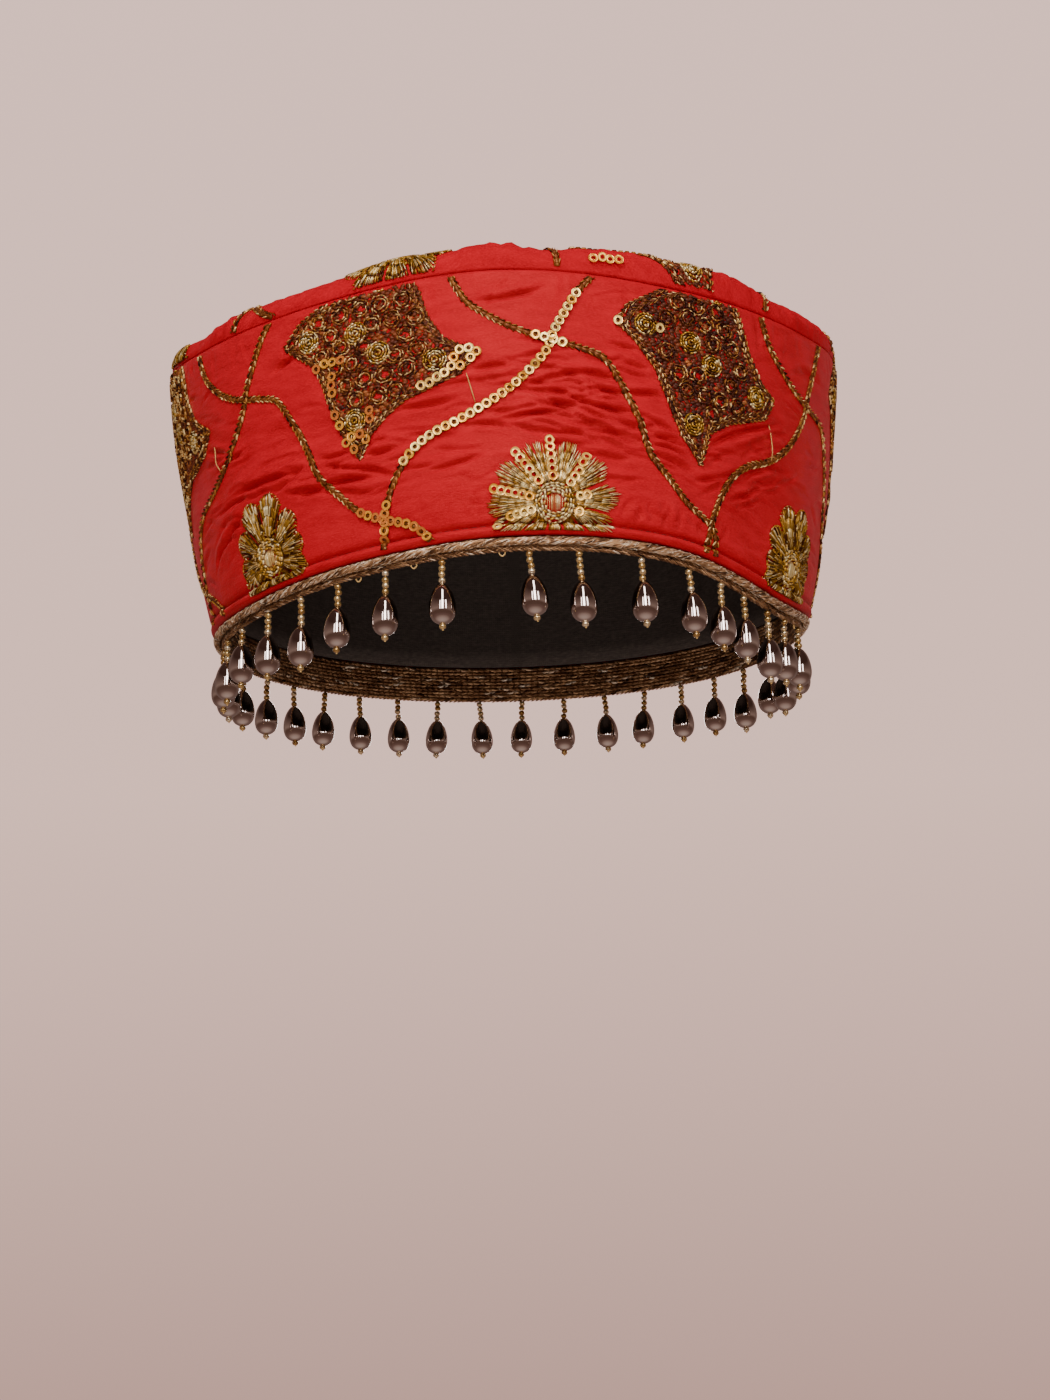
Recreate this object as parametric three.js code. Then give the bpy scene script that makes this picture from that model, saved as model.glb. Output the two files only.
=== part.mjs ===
// Bridal cap: a stiff pillbox of embroidered red satin, with a braid and a fringe of drops round its edge.
// Millimetres, +Z up, front towards -Y. The origin is the centre of the head opening, at the lower edge.
import * as THREE from 'three';

// Band: the side wall, measured on its outside
const RIM_HALF_WIDTH = 91;
const RIM_HALF_DEPTH = 95.5;
const SEAM_HALF_WIDTH = 103.3;
const SEAM_HALF_DEPTH = 99;
const BAND_HEIGHT = 78;
const BAND_BULGE = 2.1;
const BAND_WALL = 2.2;
const SEAM_SHIFT = -1.5;

// Clearance between pieces that are sewn to each other
const SEWN_GAP = 0.3;

// Braid: a woven tape inside the lower edge and a twisted cord under it
const TAPE_WALL = 1;
const TAPE_TOP = 8;
const TAPE_BOTTOM = -3.6;
const CORD_RADIUS = 1.2;
const CORD_SIDES = 6;

// Drop: a short string of seed beads, a teardrop bead and a small end bead
const SEED_RADIUS = 0.9;
const SEED_PITCH = 1.65;
const TEARDROP_LENGTH = 11.6;
const TEARDROP_RADIUS = 3.75;
const END_BEAD_RADIUS = 1;
const END_BEAD_LENGTH = 1.6;
const BEAD_SIDES = 10;

// Teardrop from its round foot to its neck, as shares of its radius and length
const TEARDROP_PROFILE = [
  { wide: 0.8, up: 0.1 },
  { wide: 1, up: 0.38 },
  { wide: 0.83, up: 0.69 },
];

// Facets round the cap
const WALL_STEPS = 64;
const LINING_STEPS = 32;

// Rise and sag of the two soft edges, by degrees from the front towards +X
const EDGE_LIFTS = [
  { angle: -180, rim: 0, seam: 0 },
  { angle: -135, rim: -1.5, seam: 1 },
  { angle: -90, rim: -3, seam: 2.5 },
  { angle: -60, rim: -3.8, seam: -4.6 },
  { angle: -30, rim: 0.3, seam: -3.2 },
  { angle: 0, rim: 4.4, seam: 1.4 },
  { angle: 30, rim: 3.8, seam: -1.1 },
  { angle: 60, rim: -3.4, seam: -1.8 },
  { angle: 90, rim: 0.7, seam: 3.5 },
  { angle: 135, rim: 0.5, seam: 1.5 },
];

// Soft dents in the band: centre, half spans and depth
const DENTS = [
  { angle: -37, up: 60, spread: 7, tall: 13, depth: 1.4 },
  { angle: 2, up: 70, spread: 9, tall: 8, depth: 1.1 },
  { angle: 12, up: 45, spread: 13, tall: 9, depth: 0.9 },
  { angle: -12, up: 30, spread: 12, tall: 8, depth: 0.8 },
  { angle: 47, up: 24, spread: 10, tall: 12, depth: 1.2 },
  { angle: 118, up: 50, spread: 14, tall: 16, depth: 1.3 },
  { angle: -128, up: 42, spread: 15, tall: 14, depth: 1.4 },
];

// Outside of the band from the turned hem to the top seam: height and step inwards
const BAND_OUTSIDE = [
  { up: 0, inset: 0.7 },
  { up: 1.1, inset: 0 },
  { up: 2.4, inset: 0 },
  { up: 3.2, inset: 0.5 },
  { up: 4.6, inset: 0.1 },
  { up: 18, inset: 0 },
  { up: 32, inset: 0 },
  { up: 46, inset: 0 },
  { up: 60, inset: 0 },
  { up: 72, inset: 0 },
  { up: 76.6, inset: 0.2 },
  { up: BAND_HEIGHT, inset: 0.8 },
];
const BAND_INSIDE_UPS = [76, 52, 30, TAPE_TOP + SEWN_GAP, 0];

// Crown from the top seam over its rounded shoulder to the middle: step inwards and height over the seam
const CROWN_OUTSIDE = [
  { inset: 0.8, up: SEWN_GAP },
  { inset: 0.2, up: 2.2 },
  { inset: 0.9, up: 4.6 },
  { inset: 3.2, up: 6.9 },
  { inset: 7.5, up: 8.2 },
  { inset: 20, up: 9.2 },
  { inset: 52, up: 10.6 },
  { inset: 88, up: 11.3 },
];
const CROWN_INSIDE = [
  { inset: 88, up: 9.7 },
  { inset: 52, up: 9 },
  { inset: 20, up: 7.6 },
  { inset: 8.2, up: 6.6 },
  { inset: 4.2, up: 5.2 },
  { inset: 2.4, up: SEWN_GAP },
];
const LIFT_FADE = 60;

// Puffs and dips of the crown's soft shoulder, by angle
const SHOULDER_PUFFS = [
  { angle: -38, spread: 8, rise: -0.6 },
  { angle: -17, spread: 4, rise: 1.1 },
  { angle: -1.5, spread: 4.5, rise: 2.4 },
  { angle: 6.5, spread: 2.5, rise: -0.9 },
  { angle: 21, spread: 9, rise: 2.6 },
  { angle: 41, spread: 6, rise: 3.2 },
  { angle: 84, spread: 10, rise: 0.9 },
  { angle: 112, spread: 8, rise: -0.8 },
  { angle: 141, spread: 10, rise: 1.1 },
  { angle: 187, spread: 6, rise: -1.2 },
  { angle: 214, spread: 10, rise: 1 },
  { angle: 249, spread: 9, rise: -0.7 },
];
const PUFF_REACH = 26;
const PUFF_START = 4;

// Lining: a dark inner cap, from the tape up and across under the crown
const LINING_WALL = 1;
const LINING_GAP = 0.8;
const LINING_WALL_UPS = [TAPE_TOP + SEWN_GAP, 30, 52, 74];
const LINING_TOP = [
  { inset: 5.6, up: 3.4 },
  { inset: 9.6, up: 5.4 },
  { inset: 21, up: 6.5 },
  { inset: 53, up: 7.9 },
  { inset: 88, up: 8.6 },
];

// Drops that stand unevenly round the front and sides: seed beads in the string, sideways lean in degrees
const SPACED_DROPS = [
  { angle: -104.5, seeds: 4, lean: -2 },
  { angle: -93.5, seeds: 4, lean: 2 },
  { angle: -83.5, seeds: 4, lean: 0 },
  { angle: -73.5, seeds: 4, lean: 3 },
  { angle: -63, seeds: 3, lean: 2 },
  { angle: -52, seeds: 4, lean: 1 },
  { angle: -42, seeds: 5, lean: 1 },
  { angle: -33, seeds: 4, lean: 2 },
  { angle: -23, seeds: 4, lean: 1 },
  { angle: -12.3, seeds: 4, lean: 0 },
  { angle: 3.2, seeds: 4, lean: -6 },
  { angle: 12.2, seeds: 5, lean: -4 },
  { angle: 24, seeds: 4, lean: -4 },
  { angle: 34.2, seeds: 4, lean: -6 },
  { angle: 42, seeds: 4, lean: -2 },
  { angle: 48.5, seeds: 4, lean: -3 },
  { angle: 56.8, seeds: 5, lean: -2 },
  { angle: 64.5, seeds: 4, lean: -1 },
  { angle: 77, seeds: 4, lean: 2 },
  { angle: 91, seeds: 4, lean: 0 },
  { angle: 102.5, seeds: 5, lean: -2 },
  { angle: 111, seeds: 4, lean: 1 },
  { angle: 121, seeds: 5, lean: 2 },
];
const BACK_DROPS = { first: 130.5, last: 244.5, count: 13, seeds: 4, lean: 3, sway: 2.4 };

const SATIN = new THREE.MeshStandardMaterial({ name: 'red_satin', color: 0xb8161c, roughness: 0.38 });
const LINING_CLOTH = new THREE.MeshStandardMaterial({ name: 'dark_lining', color: 0x191614, roughness: 0.9 });
const BRAID = new THREE.MeshStandardMaterial({ name: 'bronze_braid', color: 0x7d5b3c, roughness: 0.45 });
const BEAD = new THREE.MeshStandardMaterial({ name: 'silvered_bead', color: 0xc9b3aa, roughness: 0.12 });
BRAID.metalness = 0.6;
BEAD.metalness = 1;

const cap = new THREE.Group();

// Height of an edge at an angle: a smooth closed curve through the rows of the table
function edgeLift(column, angle) {
  const count = EDGE_LIFTS.length;
  const turned = ((angle + 180) % 360 + 360) % 360 - 180;
  let row = count - 1;
  while (EDGE_LIFTS[row].angle > turned) {
    row -= 1;
  }
  const at = (step) => {
    const index = row + step;
    const wrapped = (index + count) % count;
    const turns = Math.floor(index / count);
    return { angle: EDGE_LIFTS[wrapped].angle + 360 * turns, value: EDGE_LIFTS[wrapped][column] };
  };
  const [before, from, to, after] = [at(-1), at(0), at(1), at(2)];
  const span = to.angle - from.angle;
  const startSlope = (to.value - before.value) / (to.angle - before.angle);
  const endSlope = (after.value - from.value) / (after.angle - from.angle);
  const s = (turned - from.angle) / span;
  const rise = s * s * (3 - 2 * s);
  const startPull = s * (1 - s) * (1 - s) * span * startSlope;
  const endPull = s * s * (s - 1) * span * endSlope;
  return from.value + (to.value - from.value) * rise + startPull + endPull;
}

// Signed difference of two angles, from -180 to 180
function angleBetween(angle, other) {
  return ((angle - other + 180) % 360 + 360) % 360 - 180;
}

function bell(distance, spread) {
  return Math.exp(-0.5 * (distance / spread) ** 2);
}

function dentDepth(angle, up) {
  let depth = 0;
  for (const dent of DENTS) {
    depth += dent.depth * bell(angleBetween(angle, dent.angle), dent.spread) * bell(up - dent.up, dent.tall);
  }
  return depth;
}

function shoulderPuff(angle) {
  let rise = 0;
  for (const puff of SHOULDER_PUFFS) {
    rise += puff.rise * bell(angleBetween(angle, puff.angle), puff.spread);
  }
  return rise;
}

// A point of the side wall: degrees from the front, height over the lower edge, step in from the outside
function wallPoint(angle, up, inset) {
  const share = THREE.MathUtils.clamp(up / BAND_HEIGHT, 0, 1);
  const reach = BAND_BULGE * 4 * share * (1 - share) - dentDepth(angle, up) - inset;
  const halfWidth = THREE.MathUtils.lerp(RIM_HALF_WIDTH, SEAM_HALF_WIDTH, share) + reach;
  const halfDepth = THREE.MathUtils.lerp(RIM_HALF_DEPTH, SEAM_HALF_DEPTH, share) + reach;
  const lift = THREE.MathUtils.lerp(edgeLift('rim', angle), edgeLift('seam', angle), share);
  const turn = THREE.MathUtils.degToRad(angle);
  return new THREE.Vector3(
    SEAM_SHIFT * share + halfWidth * Math.sin(turn),
    -halfDepth * Math.cos(turn),
    up + lift,
  );
}

// A point of the crown: step in from the seam, height over it
function crownPoint(angle, up, inset) {
  const turn = THREE.MathUtils.degToRad(angle);
  const reach = -dentDepth(angle, BAND_HEIGHT) * Math.max(0, 1 - inset / PUFF_REACH);
  const lift = edgeLift('seam', angle) * Math.max(0, 1 - inset / LIFT_FADE);
  const puff = shoulderPuff(angle) * Math.min(1, up / PUFF_START) * Math.max(0, 1 - inset / PUFF_REACH);
  return new THREE.Vector3(
    SEAM_SHIFT + (SEAM_HALF_WIDTH - inset + reach) * Math.sin(turn),
    -(SEAM_HALF_DEPTH - inset + reach) * Math.cos(turn),
    BAND_HEIGHT + up + lift + puff,
  );
}

// One ring of points round the cap
function ring(steps, pointAt, up, inset) {
  const points = [];
  for (let step = 0; step < steps; step += 1) {
    points.push(pointAt(-180 + 360 * step / steps, up, inset));
  }
  return points;
}

// A skin over rings that run up the outside: closed on itself, or with a point over each open end
function skinRings(rings, pointedEnds) {
  const steps = rings[0].length;
  const positions = [];
  const index = [];
  for (const points of rings) {
    for (const point of points) {
      positions.push(point.x, point.y, point.z);
    }
  }
  const bands = pointedEnds ? rings.length - 1 : rings.length;
  for (let band = 0; band < bands; band += 1) {
    const lower = band * steps;
    const upper = ((band + 1) % rings.length) * steps;
    for (let step = 0; step < steps; step += 1) {
      const next = (step + 1) % steps;
      index.push(lower + step, lower + next, upper + next);
      index.push(lower + step, upper + next, upper + step);
    }
  }
  if (pointedEnds) {
    addPoint(positions, index, rings[0], 0, true);
    addPoint(positions, index, rings[rings.length - 1], (rings.length - 1) * steps, false);
  }
  const geometry = new THREE.BufferGeometry();
  geometry.setAttribute('position', new THREE.Float32BufferAttribute(positions, 3));
  geometry.setIndex(index);
  geometry.computeVertexNormals();
  return geometry;
}

// A fan from the middle of an end ring
function addPoint(positions, index, points, first, facesDown) {
  const middle = new THREE.Vector3();
  for (const point of points) {
    middle.add(point);
  }
  middle.divideScalar(points.length);
  const tip = positions.length / 3;
  positions.push(middle.x, middle.y, middle.z);
  for (let step = 0; step < points.length; step += 1) {
    const next = (step + 1) % points.length;
    if (facesDown) {
      index.push(tip, first + next, first + step);
    } else {
      index.push(tip, first + step, first + next);
    }
  }
}

function addPiece(name, geometry, material) {
  const mesh = new THREE.Mesh(geometry, material);
  mesh.name = name;
  cap.add(mesh);
  return mesh;
}

// Side band: outside from the hem up, inside from the seam down
function sideBand() {
  const outside = BAND_OUTSIDE.map((row) => ring(WALL_STEPS, wallPoint, row.up, row.inset));
  const top = ring(WALL_STEPS, wallPoint, BAND_HEIGHT, BAND_WALL);
  const inside = BAND_INSIDE_UPS.map((up) => ring(WALL_STEPS, wallPoint, up, BAND_WALL));
  return skinRings([...outside, top, ...inside], false);
}

// Crown: underside from the middle out, then up over the shoulder
function crownTop() {
  const inside = CROWN_INSIDE.map((row) => ring(WALL_STEPS, crownPoint, row.up, row.inset));
  const outside = CROWN_OUTSIDE.map((row) => ring(WALL_STEPS, crownPoint, row.up, row.inset));
  return skinRings([...inside, ...outside], true);
}

// Lining: inner face from the middle out and down the wall, then back up its outer face
function lining() {
  const outer = BAND_WALL + LINING_GAP;
  const inner = outer + LINING_WALL;
  const under = LINING_TOP.map((row) => (
    ring(LINING_STEPS, crownPoint, row.up - LINING_WALL, row.inset + LINING_WALL)
  ));
  const over = LINING_TOP.map((row) => ring(LINING_STEPS, crownPoint, row.up, row.inset));
  const wallInner = LINING_WALL_UPS.map((up) => ring(LINING_STEPS, wallPoint, up, inner));
  const wallOuter = LINING_WALL_UPS.map((up) => ring(LINING_STEPS, wallPoint, up, outer));
  return skinRings([...under.reverse(), ...wallInner.reverse(), ...wallOuter, ...over], true);
}

// Tape: a thin upright ring sewn inside the hem, standing out below it
function rimTape() {
  const outer = BAND_WALL + SEWN_GAP;
  const inner = outer + TAPE_WALL;
  const ups = [TAPE_BOTTOM, 0, TAPE_TOP];
  const outside = ups.map((up) => ring(WALL_STEPS, wallPoint, up, outer));
  const inside = ups.map((up) => ring(WALL_STEPS, wallPoint, up, inner));
  return skinRings([...outside, ...inside.reverse()], false);
}

// Cord: a round section carried along the hem's lower edge, in front of the tape
function rimCord() {
  const centreInset = BAND_WALL - CORD_RADIUS;
  const centreUp = -SEWN_GAP - CORD_RADIUS;
  const rings = [];
  for (let side = 0; side < CORD_SIDES; side += 1) {
    const turn = 2 * Math.PI * (side + 0.5) / CORD_SIDES;
    const up = centreUp + CORD_RADIUS * Math.sin(turn);
    const inset = centreInset - CORD_RADIUS * Math.cos(turn);
    rings.push(ring(WALL_STEPS, wallPoint, up, inset));
  }
  return skinRings(rings, false);
}

// Drop: one turned form from its top down, with its origin at the top of the string
function dropGeometry(seeds) {
  const neck = -seeds * SEED_PITCH;
  const foot = neck - TEARDROP_LENGTH;
  const profile = [
    new THREE.Vector2(0, foot - END_BEAD_LENGTH),
    new THREE.Vector2(END_BEAD_RADIUS, foot - END_BEAD_LENGTH),
    new THREE.Vector2(END_BEAD_RADIUS, foot),
    ...TEARDROP_PROFILE.map((row) => (
      new THREE.Vector2(TEARDROP_RADIUS * row.wide, foot + TEARDROP_LENGTH * row.up)
    )),
    new THREE.Vector2(SEED_RADIUS, neck),
    new THREE.Vector2(SEED_RADIUS, 0),
    new THREE.Vector2(0, 0),
  ];
  const geometry = new THREE.LatheGeometry(profile, BEAD_SIDES);
  geometry.rotateX(Math.PI / 2);
  return geometry;
}

function addDrop(number, row) {
  const name = `drop_${String(number).padStart(2, '0')}`;
  const mesh = addPiece(name, dropGeometry(row.seeds), BEAD);
  const inset = BAND_WALL + SEWN_GAP + TAPE_WALL / 2;
  mesh.position.copy(wallPoint(row.angle, TAPE_BOTTOM - SEWN_GAP, inset));
  mesh.rotation.set(0, THREE.MathUtils.degToRad(row.lean), THREE.MathUtils.degToRad(row.angle), 'ZYX');
}

addPiece('side_band', sideBand(), SATIN);
addPiece('crown_top', crownTop(), SATIN);
addPiece('lining', lining(), LINING_CLOTH);
addPiece('rim_tape', rimTape(), BRAID);
addPiece('rim_cord', rimCord(), BRAID);

SPACED_DROPS.forEach((row, index) => addDrop(index + 1, row));
const backStep = (BACK_DROPS.last - BACK_DROPS.first) / (BACK_DROPS.count - 1);
for (let step = 0; step < BACK_DROPS.count; step += 1) {
  const angle = BACK_DROPS.first + backStep * step;
  const lean = BACK_DROPS.lean * Math.sin(BACK_DROPS.sway * step);
  addDrop(SPACED_DROPS.length + step + 1, { angle, seeds: BACK_DROPS.seeds, lean });
}

export default cap;
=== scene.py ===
import bpy
import numpy as np
from mathutils import Matrix, Vector


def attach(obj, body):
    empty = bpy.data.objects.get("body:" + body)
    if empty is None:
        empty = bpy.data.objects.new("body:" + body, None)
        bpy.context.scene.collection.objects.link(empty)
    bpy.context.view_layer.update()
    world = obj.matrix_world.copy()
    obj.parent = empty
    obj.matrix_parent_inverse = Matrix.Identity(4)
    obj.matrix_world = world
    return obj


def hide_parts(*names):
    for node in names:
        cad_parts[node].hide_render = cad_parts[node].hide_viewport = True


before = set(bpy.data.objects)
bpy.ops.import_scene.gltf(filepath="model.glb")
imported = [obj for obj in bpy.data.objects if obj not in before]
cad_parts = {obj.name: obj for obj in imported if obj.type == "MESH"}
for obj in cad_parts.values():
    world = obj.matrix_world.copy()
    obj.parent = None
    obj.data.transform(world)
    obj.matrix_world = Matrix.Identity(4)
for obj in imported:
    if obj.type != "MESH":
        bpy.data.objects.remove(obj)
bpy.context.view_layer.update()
print("frame loaded")

mm = 0.001  # forms are worked out in millimetres and written in metres
chance = np.random.default_rng(41)

# the cap's form, as in the CAD: degrees run round from the front towards +X
cap = {
    "rimWidth": 91.0,  # half axes of the lower edge
    "rimDepth": 95.5,
    "seamWidth": 103.3,  # half axes of the seam
    "seamDepth": 99.0,
    "height": 78.0,
    "bulge": 2.1,
    "wall": 2.2,
    "seamShift": -1.5,
    "liftFade": 60.0,
    "puffReach": 26.0,
    "puffStart": 4.0,
    "arc": 1.745,  # mm of cloth in a degree
    "backSeam": 171.5,  # where the ends of the band meet
    "lifts": np.array([  # angle, rise of the rim, rise of the seam
        (-180, 0, 0), (-135, -1.5, 1), (-90, -3, 2.5), (-60, -3.8, -4.6), (-30, 0.3, -3.2),
        (0, 4.4, 1.4), (30, 3.8, -1.1), (60, -3.4, -1.8), (90, 0.7, 3.5), (135, 0.5, 1.5)], float),
    "dents": np.array([  # angle, height, spread in degrees, spread in height, depth
        (-37, 60, 7, 13, 1.4), (2, 70, 9, 8, 1.1), (12, 45, 13, 9, 0.9), (-12, 30, 12, 8, 0.8),
        (47, 24, 10, 12, 1.2), (118, 50, 14, 16, 1.3), (-128, 42, 15, 14, 1.4)]),
    "puffs": np.array([  # angle, spread, rise of the crown's shoulder
        (-38, 8, -0.6), (-17, 4, 1.1), (-1.5, 4.5, 2.4), (6.5, 2.5, -0.9), (21, 9, 2.6), (41, 6, 3.2),
        (84, 10, 0.9), (112, 8, -0.8), (141, 10, 1.1), (187, 6, -1.2), (214, 10, 1), (249, 9, -0.7)]),
}
arc = cap["arc"]
girth = 360 * arc


def bell(distance, spread):
    return np.exp(-0.5 * (distance / spread) ** 2)


def apart(value, other, whole=360):
    # the shorter way round from one place to another
    return (value - other + whole / 2) % whole - whole / 2


def circle(many):
    return np.arange(many) * 2 * np.pi / many


def degreesRound(many):
    return np.arange(many) * 360 / many - 180


def polar(away, turn):
    return away * np.cos(turn), away * np.sin(turn)


def unit(vectors):
    return vectors / np.linalg.norm(vectors, axis=-1, keepdims=True)


def together(*values):
    return np.broadcast_arrays(*[np.asarray(v, float) for v in values])


def rowsOf(*columns):
    return np.stack(together(*columns), -1)


def closedCurve(angles, values, at):
    knots = np.concatenate([angles[-2:] - 360, angles, angles[:3] + 360])
    level = np.concatenate([values[-2:], values, values[:3]])
    slope = np.zeros_like(level)
    slope[1:-1] = (level[2:] - level[:-2]) / (knots[2:] - knots[:-2])
    wrapped = apart(at, 0)
    row = np.clip(np.searchsorted(knots, wrapped, side="right") - 1, 1, len(knots) - 3)
    span = knots[row + 1] - knots[row]
    s = (wrapped - knots[row]) / span
    pull = s * (1 - s) ** 2 * slope[row] + s * s * (s - 1) * slope[row + 1]
    return level[row] + (level[row + 1] - level[row]) * s * s * (3 - 2 * s) + pull * span


def edgeLift(column, angle):
    return closedCurve(cap["lifts"][:, 0], cap["lifts"][:, column], angle)


def dentDepth(angle, up):
    return sum(d * bell(apart(angle, a), s) * bell(up - h, t) for a, h, s, t, d in cap["dents"])


def wallPoint(angle, up, inset):
    angle, up, inset = together(angle, up, inset)
    share = np.clip(up / cap["height"], 0, 1)
    reach = cap["bulge"] * 4 * share * (1 - share) - dentDepth(angle, up) - inset
    wide = cap["rimWidth"] + (cap["seamWidth"] - cap["rimWidth"]) * share + reach
    deep = cap["rimDepth"] + (cap["seamDepth"] - cap["rimDepth"]) * share + reach
    lift = edgeLift(1, angle) * (1 - share) + edgeLift(2, angle) * share
    turn = np.radians(angle)
    return np.stack([cap["seamShift"] * share + wide * np.sin(turn), -deep * np.cos(turn), up + lift], -1)


def crownPoint(angle, up, inset):
    angle, up, inset = together(angle, up, inset)
    nearSeam = np.clip(1 - inset / cap["puffReach"], 0, 1)
    puff = sum(rise * bell(apart(angle, a), spread) for a, spread, rise in cap["puffs"])
    reach = -dentDepth(angle, cap["height"]) * nearSeam - inset
    lift = edgeLift(2, angle) * np.clip(1 - inset / cap["liftFade"], 0, 1)
    rise = cap["height"] + up + lift + puff * np.clip(up / cap["puffStart"], 0, 1) * nearSeam
    turn = np.radians(angle)
    wide = cap["seamWidth"] + reach
    deep = cap["seamDepth"] + reach
    return np.stack([cap["seamShift"] + wide * np.sin(turn), -deep * np.cos(turn), rise], -1)


def smoothPath(points, perSpan=16):
    points = np.asarray(points, float)
    ends = np.concatenate([2 * points[:1] - points[1:2], points, 2 * points[-1:] - points[-2:-1]])
    s = np.linspace(0, 1, perSpan, endpoint=False)[:, None]
    spans = []
    for a, b, c, d in zip(ends[:-3], ends[1:-2], ends[2:-1], ends[3:]):
        spans.append(b + 0.5 * s * (c - a + s * (2 * a - 5 * b + 4 * c - d + s * (3 * (b - c) + d - a))))
    return np.concatenate(spans + [points[-1:]])


def runAlong(path):
    return np.concatenate([[0], np.cumsum(np.linalg.norm(np.diff(path, axis=0), axis=1))])


def spacedAlong(path, pitch):
    # points at even steps along a line, and the heading there
    run = runAlong(path)
    count = max(2, int(round(run[-1] / pitch)))
    at = (np.arange(count) + 0.5) * run[-1] / count
    before, points, after = [
        np.stack([np.interp(at + off, run, path[:, k]) for k in range(path.shape[1])], -1)
        for off in (-0.3, 0, 0.3)]
    ahead = after - before
    return points, np.arctan2(ahead[:, 1], ahead[:, 0])


def newObject(name, points, faces):
    mesh = bpy.data.meshes.new(name)
    mesh.from_pydata(points.tolist(), [], faces.tolist())
    mesh.polygons.foreach_set("use_smooth", np.ones(len(mesh.polygons), bool))
    obj = bpy.data.objects.new(name, mesh)
    bpy.context.scene.collection.objects.link(obj)
    return obj


def makeMesh(name, points, faces, material, slot, uv=None, tone=None):
    obj = newObject(name, points * mm, faces)
    mesh = obj.data
    if uv is not None:
        mesh.uv_layers.new(name="cloth").data.foreach_set("uv", uv.astype(np.float32).ravel())
    if tone is not None:
        mesh.attributes.new("tone", "FLOAT", "POINT").data.foreach_set("value", tone.astype(np.float32))
    mesh.materials.append(material)
    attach(obj, "root")
    return obj


def skin(rings, tips=()):
    # triangles over rings that run up the outside, closed on themselves or ending in two tips
    rows, steps = rings.shape[:2]
    bands = rows - 1 if len(tips) else rows
    low, step = np.meshgrid(np.arange(bands), np.arange(steps), indexing="ij")
    high = (low + 1) % rows * steps
    after = (step + 1) % steps
    low = low * steps
    a, b, c, d = low + step, low + after, high + after, high + step
    faces = np.stack([a, b, c, a, c, d], -1).reshape(-1, 3)
    points = rings.reshape(-1, 3)
    if len(tips):
        step = np.arange(steps)
        after = (step + 1) % steps
        first = np.stack([np.full(steps, len(points)), after, step], -1)
        last = (rows - 1) * steps
        second = np.stack([np.full(steps, len(points) + 1), last + step, last + after], -1)
        points = np.concatenate([points, np.asarray(tips, float)])
        faces = np.concatenate([faces, first, second])
    return points, faces


def turned(section, sides):
    # rings round Z from a section of radii and heights
    return np.array([[(*polar(radius, a), height) for a in circle(sides)] for radius, height in section])


def copies(base, middle, x, y, z):
    # one form at many places, each on its own three axes
    points, faces = base
    placed = (middle[:, None] + points[:, :1] * x[:, None] + points[:, 1:2] * y[:, None]
              + points[:, 2:] * z[:, None])
    starts = np.arange(len(middle)) * len(points)
    return placed.reshape(-1, 3), (faces + starts[:, None, None]).reshape(-1, 3)


def joined(parts):
    starts = np.cumsum([0] + [len(points) for points, faces in parts])
    faces = [faces + start for (points, faces), start in zip(parts, starts)]
    return np.concatenate([points for points, faces in parts]), np.concatenate(faces)


def tube(path, radius, sides, closed):
    # rings of points round a line in space, carried along without turning
    ahead = np.roll(path, -1, axis=0) - np.roll(path, 1, axis=0) if closed else np.gradient(path, axis=0)
    ahead = unit(ahead)
    aside = unit(np.cross(ahead, np.array([0.13, 0.21, 0.97])))
    out = np.cross(aside, ahead)
    t = circle(sides)[None, :, None]
    return path[:, None] + radius * (np.cos(t) * aside[:, None] + np.sin(t) * out[:, None])


def threadAlong(path, radius):
    return skin(tube(path, radius, 5, False), (path[0], path[-1]))


def girthUv(rings, faces, roundU):
    # cloth coordinates in metres: round the cap, and along the section
    section = np.linalg.norm(np.diff(rings, axis=0, append=rings[:1]), axis=2).mean(1)
    along = np.concatenate([[0], np.cumsum(section)])
    edges = np.append(roundU, roundU[0] + girth)
    pair = np.arange(len(faces)) // 2
    band, step = pair // len(roundU), pair % len(roundU)
    odd = np.arange(len(faces)) % 2
    u = np.stack([edges[step], edges[step + 1], edges[step + 1 - odd]], -1)
    v = np.stack([along[band], along[band + odd], along[band + 1]], -1)
    return np.stack([u, v], -1) * mm


# materials


def colour(text):
    # sRGB hex to linear
    parts = [int(text[k:k + 2], 16) / 255 for k in (1, 3, 5)]
    return [p / 12.92 if p <= 0.04045 else ((p + 0.055) / 1.055) ** 2.4 for p in parts] + [1]


def addNode(tree, kind, values=None, links=None, **settings):
    node = tree.nodes.new(kind)
    for key, value in settings.items():
        setattr(node, key, value)
    for key, value in (values or {}).items():
        node.inputs[key].default_value = value
    for key, source in (links or {}).items():
        tree.links.new(source, node.inputs[key])
    return node


def newMaterial(name, values):
    material = bpy.data.materials.new(name)
    material.use_nodes = True
    shader = material.node_tree.nodes["Principled BSDF"]
    for key, value in values.items():
        shader.inputs[key].default_value = value
    return material, material.node_tree, shader


def colourRamp(tree, value, stops):
    node = addNode(tree, "ShaderNodeValToRGB", {}, {"Fac": value})
    elements = node.color_ramp.elements
    while len(elements) < len(stops):
        elements.new(0.5)
    for element, (place, text) in zip(elements, stops):
        element.position = place
        element.color = colour(text)
    return node.outputs["Color"]


def ranged(tree, value, low, high, top=1.0):
    # a share from nothing at low to top at high
    limits = {"From Min": low, "From Max": high, "To Max": top}
    return addNode(tree, "ShaderNodeMapRange", limits, {"Value": value}).outputs["Result"]


def clothNoise(tree, uv, sizeMm, detail, drawn):
    # a cloud pattern on the cloth, turned or drawn out
    mapped = addNode(tree, "ShaderNodeMapping", drawn, {"Vector": uv})
    return addNode(tree, "ShaderNodeTexNoise", {"Scale": 1 / (sizeMm * mm), "Detail": detail},
                   {"Vector": mapped.outputs["Vector"]}).outputs["Fac"]


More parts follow.
